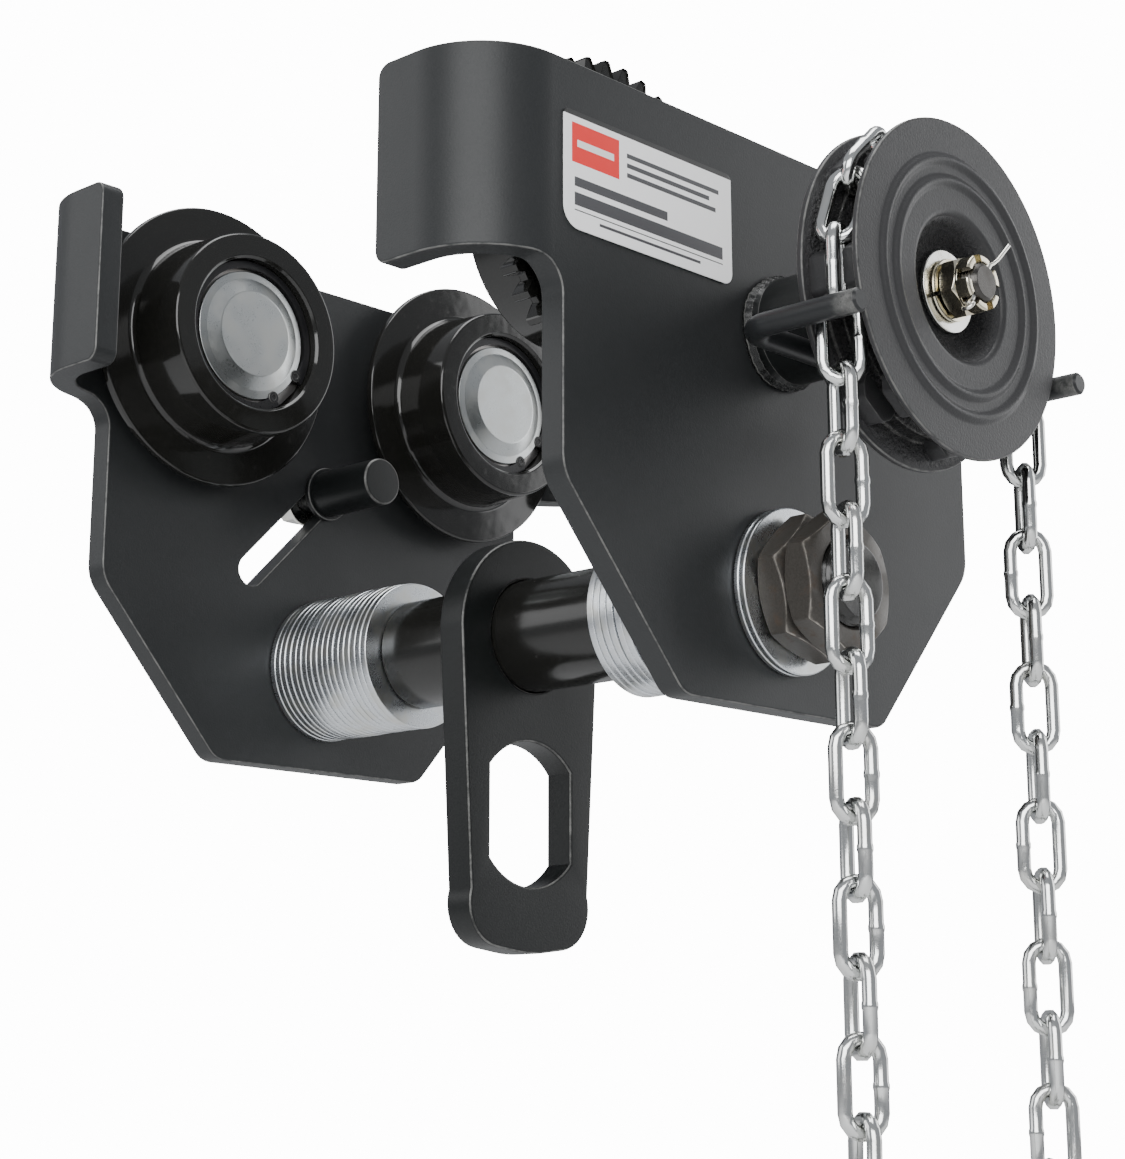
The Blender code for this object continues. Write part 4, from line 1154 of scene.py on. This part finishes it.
# %% Chamfered nuts
def hex_nut(flats, x0, x1, bore, turn, centre, corner_r=1.6, both=True):
    """A hexagon nut between x0 and x1, chamfered at 30 degrees, with its bore countersunk."""
    bm, edge, _ = new_bmesh()
    out = math.copysign(1.0, x1 - x0)
    corner = flats / math.sqrt(3)
    shape = [(corner * math.cos(turn + math.pi / 3 * i), corner * math.sin(turn + math.pi / 3 * i),
              corner_r) for i in range(6)]
    rounded = [Vector(p[:2]) for p in filleted(shape, 4)]
    outline = []
    for a, b in zip(rounded, rounded[1:] + rounded[:1]):
        pieces = 8 if (b - a).length > flats / 4 else 1
        outline += [a.lerp(b, k / pieces) for k in range(pieces)]
    face_r = flats / 2 - 0.6
    slope = math.tan(math.radians(30))
    drop = [max(0.0, (p.length - face_r) * slope) for p in outline]

    def ring_at(points, xs, worn=0.0):
        ring = []
        for p, x in zip(points, xs):
            vert = bm.verts.new((x, centre[0] + p.x, centre[1] + p.y))
            vert[edge] = worn
            ring.append(vert)
        return ring

    def round_at(radius, x):
        return ring_at([p.normalized() * radius for p in outline], [x] * len(outline))

    ease = 0.35
    grown = [p - p.normalized() * ease for p in outline]
    rings = [round_at(bore, x0), round_at(face_r, x0)]
    low = drop if both else [ease] * len(outline)
    rings += [ring_at(grown, [x0 + out * d for d in low], 1.0),
              ring_at(outline, [x0 + out * (d + ease) for d in low])]
    rings += [ring_at(outline, [x1 - out * (d + ease) for d in drop]),
              ring_at(grown, [x1 - out * d for d in drop], 1.0)]
    rings += [round_at(face_r, x1), round_at(bore + 1.4, x1), round_at(bore, x1 - out * 1.4)]
    count = len(outline)
    for ring, other in zip(rings, rings[1:] + rings[:1]):
        for i in range(count):
            j = (i + 1) % count
            bm.faces.new((ring[i], ring[j], other[j], other[i]))
    return bm


NUT_FLATS = 54.0
for label, side in SIDES.items():
    for which, turn in (("shaft_nut", 43.5), ("lock_nut", 35.5)):
        low, high = corners(f"{which}_{label}")
        x0, x1 = (low.x, high.x) if side > 0 else (high.x, low.x)
        bm = hex_nut(NUT_FLATS, x0, x1, SHAFT_END_R + 0.2, math.radians(turn), (0, SHAFT_Z))
        make_piece(f"{which}_hex_{label}", bm, nut_oxide, "load_bar", [f"{which}_{label}"])
print("two nuts on each end of the shaft")


# %% [markdown]
# ## The suspension plate
# The hoist hangs in the slot of a 15 mm plate, which swings on the load shaft. Its top is round
# about the shaft and its foot is nearly flat.

# %% Suspension plate
def suspension_outline():
    low, high = corners("suspension_plate")
    radius = high.y
    top = [(radius * math.cos(math.pi * k / 40), SHAFT_Z + radius * math.sin(math.pi * k / 40))
           for k in range(41)]
    foot = SHAFT_Z - 139.0
    lower = filleted([(-radius, foot + 2.0, 19.0), (0.0, foot - 3.5, 70.0), (radius, foot + 2.0, 19.0),
                      (0.0, SHAFT_Z, 0.0)], 10)
    return top + [p[:2] for p in lower[:-1]]


def hook_slot():
    """The slot's straight sides end in shallow arcs."""
    arc_r = 33.4
    spread = math.asin(25.5 / arc_r)
    rise = arc_r * math.cos(spread)
    points = []
    for turn, height in ((math.pi / 2, SHAFT_Z - 60.1 - rise), (-math.pi / 2, SHAFT_Z - 101.1 + rise)):
        for k in range(17):
            a = turn - spread + 2 * spread * k / 16
            points.append((arc_r * math.cos(a), height + arc_r * math.sin(a)))
    return points


low, high = corners("suspension_plate")
bm = slab(suspension_outline(), low.x, high.x, [hook_slot(), circle((0, SHAFT_Z), SHAFT_R + 0.3, 96)], 1.4)
make_piece("hanger", bm, bracket_black, "load_bar", ["suspension_plate"])
print("suspension plate", round(high.x - low.x, 1), "mm thick")


# %% [markdown]
# ## The hand chain wheel
# Two pressed steel discs are riveted to a cast core. The discs carry two pressed rings that stiffen
# them, and between them the core has seven pockets with lugs that catch the flat links. The rough
# hub shows in the dish at the middle; the dish and the core between the discs are painted darker,
# as painted shade.

# %% Discs, core and lugs
HAND_R = corners("hand_chain_wheel")[1].z - PINION_Z
GROOVE_HALF = 11.8
DISC_T = 3.0
POCKETS = 7
LUG_INNER = 3.9                         # half of the slot that upright links pass through
HAND_AXIS = (0.0, PINION_Z)


RIDGES = (53.0, 44.2)
RIDGE_HALF = 3.4
RIDGE_HEIGHT = 1.5


def pressed_ridge(x, r, out):
    """Points of a smooth raised ring in a disc's face, from its outer side to its inner."""
    points = []
    for k in range(13):
        u = -1 + k / 6
        lift = RIDGE_HEIGHT * 0.5 * (1 + math.cos(math.pi * u))
        points.append((x + out * lift, r - RIDGE_HALF * u))
    return points


def hand_wheel_profile():
    """Hub, back disc, core and front disc in one section."""
    back = CHAIN_X - GROOVE_HALF
    front = CHAIN_X + GROOVE_HALF
    rear = back - DISC_T
    face = front + DISC_T - 0.4
    seat = front + DISC_T - 9.0
    core = CHAIN_R - 4.2
    slot_r = CHAIN_R - 10.8
    profile = [(206.5, 10.3), (206.5, 18.0, 1.0, 1.0), (rear, 21.0, 2.0, 1.0)]
    for r in RIDGES[::-1]:
        profile += pressed_ridge(rear, r, -1)[::-1]
    profile += [(rear, HAND_R, 0.9), (back, HAND_R, 0.9), (back, core, 1.5, 0.6)]
    profile += [(CHAIN_X - 4.6, core, 1.0, 1.0), (CHAIN_X - 3.4, slot_r, 1.0, 1.0),
                (CHAIN_X + 3.4, slot_r, 1.0, 1.0), (CHAIN_X + 4.6, core, 1.0, 1.0)]
    profile += [(front, core, 1.5, 0.6), (front, HAND_R, 0.9), (face, HAND_R, 0.9)]
    for r in RIDGES:
        profile += pressed_ridge(face, r, 1)
    profile += [(face, 31.0, 3.2), (face - 6.4, 27.0, 2.6, 0.5), (seat + 1.4, 23.0, 1.5, 1.0),
                (seat, 18.8, 0.8, 1.0), (seat, 10.3)]
    return profile


def lug(x0, x1):
    """One pocket wall, as long as the gap between two flat links, with hollowed ends."""
    base = CHAIN_R - 7.0
    half = [(11.2, base, 0.0), (10.6, CHAIN_R - 1.5, 3.0), (7.0, 65.8, 2.4)]
    corners_of_lug = half + [(-y, z, r) for y, z, r in reversed(half)]
    return slab([p[:2] for p in filleted(corners_of_lug)], x0, x1, edge_r=0.9, steps=2)


def cast_waves(a, coarse):
    """Slow unevenness of a casting's radius."""
    return coarse * (0.18 * math.sin(3 * a + 1.0) + 0.12 * math.sin(7 * a) + 0.06 * math.sin(19 * a))


wheel = make_piece("hand_wheel", turned(hand_wheel_profile(), HAND_AXIS, 128, cast_waves), casting_paint)
lugs = [wheel]
for x0, x1 in ((CHAIN_X - GROOVE_HALF - 1.0, CHAIN_X - LUG_INNER),
               (CHAIN_X + LUG_INNER, CHAIN_X + GROOVE_HALF + 1.0)):
    lugs.append(ring_of("lugs", lug(x0, x1), POCKETS, HAND_AXIS,
                        (2 - CHAIN_PHASE) * math.pi / POCKETS, casting_paint))
wheel = merged("hand_wheel", *lugs)
wheel.data.shade_smooth()
wheel.data.set_sharp_from_angle(angle=math.radians(38))
settle(wheel, "hand_drive", ["hand_chain_wheel"])
print("hand wheel", round(2 * HAND_R, 1), "mm across,", POCKETS, "pockets")


# %% [markdown]
# A plain washer, a spring washer and a castle nut hold the wheel on its shaft, and a split pin
# through the nut keeps them there. The nut's crown is a collar with six prongs.

# %% Washer, spring washer and castle nut
low, high = corners("hand_wheel_washer")
rim = [(low.x, 8.6), (low.x, 17.2, 0.5), (high.x, 17.2, 0.5), (high.x, 8.6, 0.3)]
make_piece("wheel_washer", turned(rim, HAND_AXIS, 80), bright_zinc, "hand_drive",
           ["hand_wheel_washer"])


def split_ring(x0, x1, inner, outer, gap):
    """A spring washer: one coil cut at a slant and sprung a little open."""
    bm, edge, _ = new_bmesh()
    rings = []
    rows = 64
    for k in range(rows + 1):
        share = k / rows
        a = math.radians(200) + gap / 2 + (math.tau - gap) * share
        lift = 0.45 * (share - 0.5)
        section = filleted([(x0 + 0.25 + lift, inner, 0.3), (x0 + 0.25 + lift, outer, 0.5),
                            (x1 - 0.25 + lift, outer, 0.5), (x1 - 0.25 + lift, inner, 0.3)], 2)
        ring = []
        for x, r, worn, _ in section:
            vert = bm.verts.new((x, HAND_AXIS[0] + r * math.cos(a), HAND_AXIS[1] + r * math.sin(a)))
            vert[edge] = worn
            ring.append(vert)
        rings.append(ring)
    for ring, other in zip(rings, rings[1:]):
        for i in range(len(ring)):
            j = (i + 1) % len(ring)
            bm.faces.new((ring[i], ring[j], other[j], other[i]))
    bm.faces.new(rings[0])
    bm.faces.new(rings[-1])
    return bm


low, high = corners("spring_washer")
make_piece("sprung_washer", split_ring(low.x, high.x, 8.6, 13.0, math.radians(8)), yellow_zinc,
           "hand_drive", ["spring_washer"])

PIN_ANGLE = math.radians(52)
low, high = corners("castle_nut")
CROWN_X = low.x + 8.4
hexagon = make_piece("castle_hex", hex_nut(13.2 * math.sqrt(3), low.x, CROWN_X, 8.3, math.radians(20),
                                           HAND_AXIS, 1.0), yellow_zinc)
collar = make_piece("castle_collar", turned([(CROWN_X - 1.0, 8.3), (CROWN_X - 1.0, 11.4),
                                             (CROWN_X + 0.4, 11.4, 0.3), (CROWN_X + 0.4, 8.3)],
                                            HAND_AXIS, 60), yellow_zinc)


def prong():
    """One of the crown's six prongs: a sector of a ring, eased at its outer corner."""
    bm, edge, _ = new_bmesh()
    rings = []
    for k in range(7):
        share = -1 + k / 3
        ring = []
        for x, r, worn, _ in filleted([(CROWN_X - 0.5, 8.4), (CROWN_X - 0.5, 11.6),
                                       (high.x, 11.6, 1.0), (high.x, 8.6, 0.4)], 3):
            a = share * (math.pi / 6 - 2.35 / r)
            vert = bm.verts.new((x, -r * math.sin(a), r * math.cos(a)))
            vert[edge] = max(worn, float(abs(share) > 0.99))
            ring.append(vert)
        rings.append(ring)
    for ring, other in zip(rings, rings[1:]):
        for i in range(len(ring)):
            j = (i + 1) % len(ring)
            bm.faces.new((ring[i], ring[j], other[j], other[i]))
    bm.faces.new(rings[0])
    bm.faces.new(rings[-1])
    return bm


prongs = ring_of("castle_prongs", prong(), 6, HAND_AXIS, PIN_ANGLE - math.pi / 2 + math.pi / 6, yellow_zinc)
nut = merged("castle", hexagon, collar, prongs)
nut.data.shade_smooth()
nut.data.set_sharp_from_angle(angle=math.radians(38))
settle(nut, "hand_drive", ["castle_nut"])
print("castle nut with six prongs")


# %% [markdown]
# ## Shafts, boss and guide
# The pinion and its shaft are one piece. They turn in a boss welded to the geared plate, and the
# same boss carries a bent bar whose two ends keep the chain in its groove.

# %% Pinion shaft
def pinion_profile():
    tip = corners("pinion_shaft")[1].x
    back = inward(1, 16.5)
    root = MODULE * PINION_TEETH / 2 - ROOT_DEPTH
    profile = [(back, 0.0), (back, 10.0, 0.8), (inward(1, 15.0), 10.0), (inward(1, 15.0), root, 0.5),
               (inward(1, 5.0), root, 0.5), (inward(1, 5.0), 10.0), (233.0, 10.0, 0.5), (233.0, 8.0)]
    ridges = 12
    pitch = 1.5
    first = tip - 1.2 - ridges * pitch
    for k in range(ridges):
        profile += [(first + k * pitch, 7.35), (first + k * pitch + pitch / 2, 8.0)]
    return profile + [(tip - 1.0, 7.6, 0.3), (tip, 6.6, 0.4), (tip, 0.0)]


spindle = make_piece("pinion_spindle", turned(pinion_profile(), HAND_AXIS, 64), dark_steel)
root = MODULE * PINION_TEETH / 2 - ROOT_DEPTH
shape = tooth(root, MODULE * PINION_TEETH / 2 + TIP_HEIGHT, 6.6, 2.3, inward(1, 15.0), inward(1, 5.0))
teeth = ring_of("pinion_teeth", shape, PINION_TEETH, HAND_AXIS, pinion_phase() - math.pi / 2, dark_steel)
spindle = merged("pinion_spindle", spindle, teeth)
spindle.data.shade_smooth()
spindle.data.set_sharp_from_angle(angle=math.radians(38))
settle(spindle, "hand_drive", ["pinion_shaft"])


# %% Boss and its weld
def weld_waves(a, coarse):
    """The ripples of a hand weld: a bead every few degrees, never quite even."""
    ripple = 0.5 * abs(math.sin(17 * a + 0.8 * math.sin(3 * a)))
    return coarse * (ripple + 0.9 * math.sin(2 * a + 0.6) + 0.5 * math.sin(5 * a))


low, high = corners("pinion_boss")
BOSS_R = 23.0
boss_profile = [(low.x, 17.0), (low.x, 25.4, 0.6, 1.0), (low.x + 1.6, 25.6, 1.6, 1.0),
                (low.x + 4.4, 24.2, 1.6, 1.0), (low.x + 6.2, BOSS_R, 0.6, 0.0), (high.x, BOSS_R, 1.2, 0.0),
                (high.x, 17.0, 0.6, 0.0)]
make_piece("boss", turned(boss_profile, HAND_AXIS, 140, weld_waves), bracket_black, "frame",
           ["pinion_boss"])


# %% A round bar along a line
def swept(points, radius, segments=24, ease=0.8):
    """A round bar along points in millimetres, with eased ends and a steady section."""
    bm, edge, _ = new_bmesh()
    line = [Vector(p) for p in points]
    start = (line[1] - line[0]).normalized()
    end = (line[-1] - line[-2]).normalized()
    stops = [(line[0], radius - ease, 0.0), (line[0] + start * ease, radius, 1.0)]
    stops += [(p, radius, 0.0) for p in line[1:-1]]
    stops += [(line[-1] - end * ease, radius, 1.0), (line[-1], radius - ease, 0.0)]
    across = start.orthogonal().normalized()
    rings = []
    for i, (place, r, worn) in enumerate(stops):
        before = stops[max(i - 1, 0)][0]
        after = stops[min(i + 1, len(stops) - 1)][0]
        along = (after - before).normalized()
        across = (across - along * across.dot(along)).normalized()
        other = along.cross(across)
        ring = []
        for k in range(segments):
            a = math.tau * k / segments
            vert = bm.verts.new(place + across * (r * math.cos(a)) + other * (r * math.sin(a)))
            vert[edge] = worn
            ring.append(vert)
        rings.append(ring)
    for ring, other in zip(rings, rings[1:]):
        for k in range(segments):
            j = (k + 1) % segments
            bm.faces.new((ring[k], ring[j], other[j], other[k]))
    bm.faces.new(rings[0])
    bm.faces.new(rings[-1])
    return bm


def guide_line():
    """The guide's centre line: in from one end, round a bend, across, and out again."""
    low, high = corners("chain_guide")
    z = (low.z + high.z) / 2
    reach = high.y - 4.8
    bar_x = 193.0
    bend = 11.0
    points = [(high.x, -reach, z)]
    for side in (-1, 1):
        arc = []
        for k in range(13):
            a = math.pi / 2 * k / 12
            arc.append((bar_x + bend * (1 - math.sin(a)), side * (reach - bend * (1 - math.cos(a))), z))
        points += arc if side < 0 else arc[::-1]
    return points + [(high.x, reach, z)]


make_piece("guide", swept(guide_line(), 4.8, 28, 1.1), guide_satin, "frame", ["chain_guide"])


# %% Split pin
def pin_points():
    """Down through the shaft from the eye, and straight out on the far side."""
    c, s = math.cos(PIN_ANGLE), math.sin(PIN_ANGLE)
    x = middle("split_pin").x
    return [(x, r * c, PINION_Z + r * s) for r in (-14.0, -7.0, 0.0, 7.0, 12.2)]


def leg_points():
    """The leg that was left standing, bent a little off the pin's line."""
    x = middle("split_pin").x
    return [(x + 0.4, y, PINION_Z + z) for y, z in ((6.6, 9.0), (9.6, 10.4), (13.4, 13.0), (22.4, 21.6))]


def eye_points():
    """The pin's eye, a small loop outside the nut."""
    c, s = math.cos(PIN_ANGLE), math.sin(PIN_ANGLE)
    x = middle("split_pin").x
    points = []
    for k in range(15):
        a = math.radians(-60) + math.radians(300) * k / 14
        r = -14.0 + 2.2 * math.cos(a + math.pi)
        points.append((x + 2.2 * math.sin(a), r * c, PINION_Z + r * s))
    return points


pin = joined(swept(pin_points(), 1.45, 16, 0.4), swept(leg_points(), 0.85, 12, 0.2),
             swept(eye_points(), 0.9, 12, 0.2))
make_piece("split_pin_wire", pin, bright_zinc, "hand_drive", ["split_pin"])
print("shaft, boss, guide and split pin made")


# %% [markdown]
# ## Tilt stop and label
# A peg under the beam keeps the trolley from tipping. It is clamped in a slot by a nut outside
# the plain plate. The label is a thin printed plate, and its print is only plain bars here.

# %% Tilt stop
STOP_AT = (STOP_Y, STOP_Z)
peg_low, peg_high = corners("tilt_stop_peg")
base = -HALF_GAP + 0.3
thread = []
for k in range(10):
    thread += [(peg_low.x + 1.5 + k * 1.75, 6.2), (peg_low.x + 1.5 + k * 1.75 + 0.9, 7.0)]
peg = [(peg_low.x, 0.0), (peg_low.x, 5.6, 0.4)] + thread + [
    (base, 7.0), (base, 13.4, 0.8), (base + 3.0, 13.4, 0.8), (base + 3.0, 11.6), (peg_high.x, 11.6, 1.4),
    (peg_high.x, 0.0)]
make_piece("stop_peg", turned(peg, STOP_AT, 64), bracket_black, "tilt_stop", ["tilt_stop_peg"])
low, high = corners("tilt_stop_washer")
rim = [(low.x, 7.3), (low.x, 14.0, 0.5), (high.x, 14.0, 0.5), (high.x, 7.3)]
make_piece("stop_washer", turned(rim, STOP_AT, 64), bright_zinc, "tilt_stop", ["tilt_stop_washer"])
low, high = corners("tilt_stop_nut")
make_piece("stop_nut", hex_nut(21.0, high.x, low.x, 7.2, 0.0, STOP_AT, 0.8), bright_zinc, "tilt_stop",
           ["tilt_stop_nut"])


# %% Label
def label_print():
    """White plate with a dark band, a coloured block and plain bars where words would be."""
    low, high = corners("nameplate")
    face = Finish("label print", Metallic=0.0)
    spot = face.add("ShaderNodeSeparateXYZ", None, face.place)
    along = (spot.of("Y") * 1000.0 - low.y) / (high.y - low.y)
    up = (spot.of("Z") * 1000.0 - low.z) / (high.z - low.z)

    def block(a0, a1, u0, u1):
        return (along > a0) * (along < a1) * (up > u0) * (up < u1)

    grime = face.noise(14.0, 4.0)
    color = face.mix(grime * 0.4, (0.97, 0.97, 0.97), (0.92, 0.92, 0.92))
    color = face.mix(block(0.0, 1.0, 0.955, 1.0), color, (0.02, 0.02, 0.02))
    color = face.mix(block(0.045, 0.315, 0.56, 0.90), color, (0.80, 0.012, 0.010))
    color = face.mix(block(0.075, 0.285, 0.70, 0.76), color, (0.85, 0.85, 0.84))
    bars = block(0.36, 0.92, 0.775, 0.815) + block(0.36, 0.86, 0.69, 0.73) + block(0.36, 0.90, 0.605, 0.645)
    bars = bars + block(0.06, 0.60, 0.36, 0.44) + block(0.06, 0.94, 0.20, 0.31)
    bars = bars + block(0.06, 0.94, 0.155, 0.165) + block(0.20, 0.80, 0.09, 0.115)
    color = face.mix(bars, color, (0.05, 0.05, 0.055))
    face.wear(Base_Color=color, Roughness=0.32 + grime * 0.12)
    return face.bump(face.noise(2.5, 2.0), 0.01).material


low, high = corners("nameplate")
label_corners = [(low.y, low.z, 9.0), (high.y, low.z, 5.0), (high.y, high.z, 3.0), (low.y, high.z, 3.0)]
outline = filleted(label_corners, 8)
bm = slab([p[:2] for p in outline], low.x, high.x, edge_r=0.12, steps=2)
make_piece("label", bm, label_print(), "frame", ["nameplate"])


# %% [markdown]
# ## Pieces kept from the model
# Bearings, stub axles, bushes and the hank's tie already have the right shape and mostly lie
# hidden. They only need their finish.

# %% Finish the kept solids
def refinish(node, material):
    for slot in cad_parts[node].material_slots:
        slot.material = material


kept = {"wheel_bearing": bare_steel, "stub_axle": dark_steel, "pinion_bush": bronze, "hank_tie": tie_nylon}
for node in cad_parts:
    for start, material in kept.items():
        if node.startswith(start):
            refinish(node, material)
left = [n for n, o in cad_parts.items() if not o.hide_render]
print("kept solids:", ", ".join(sorted(left)))
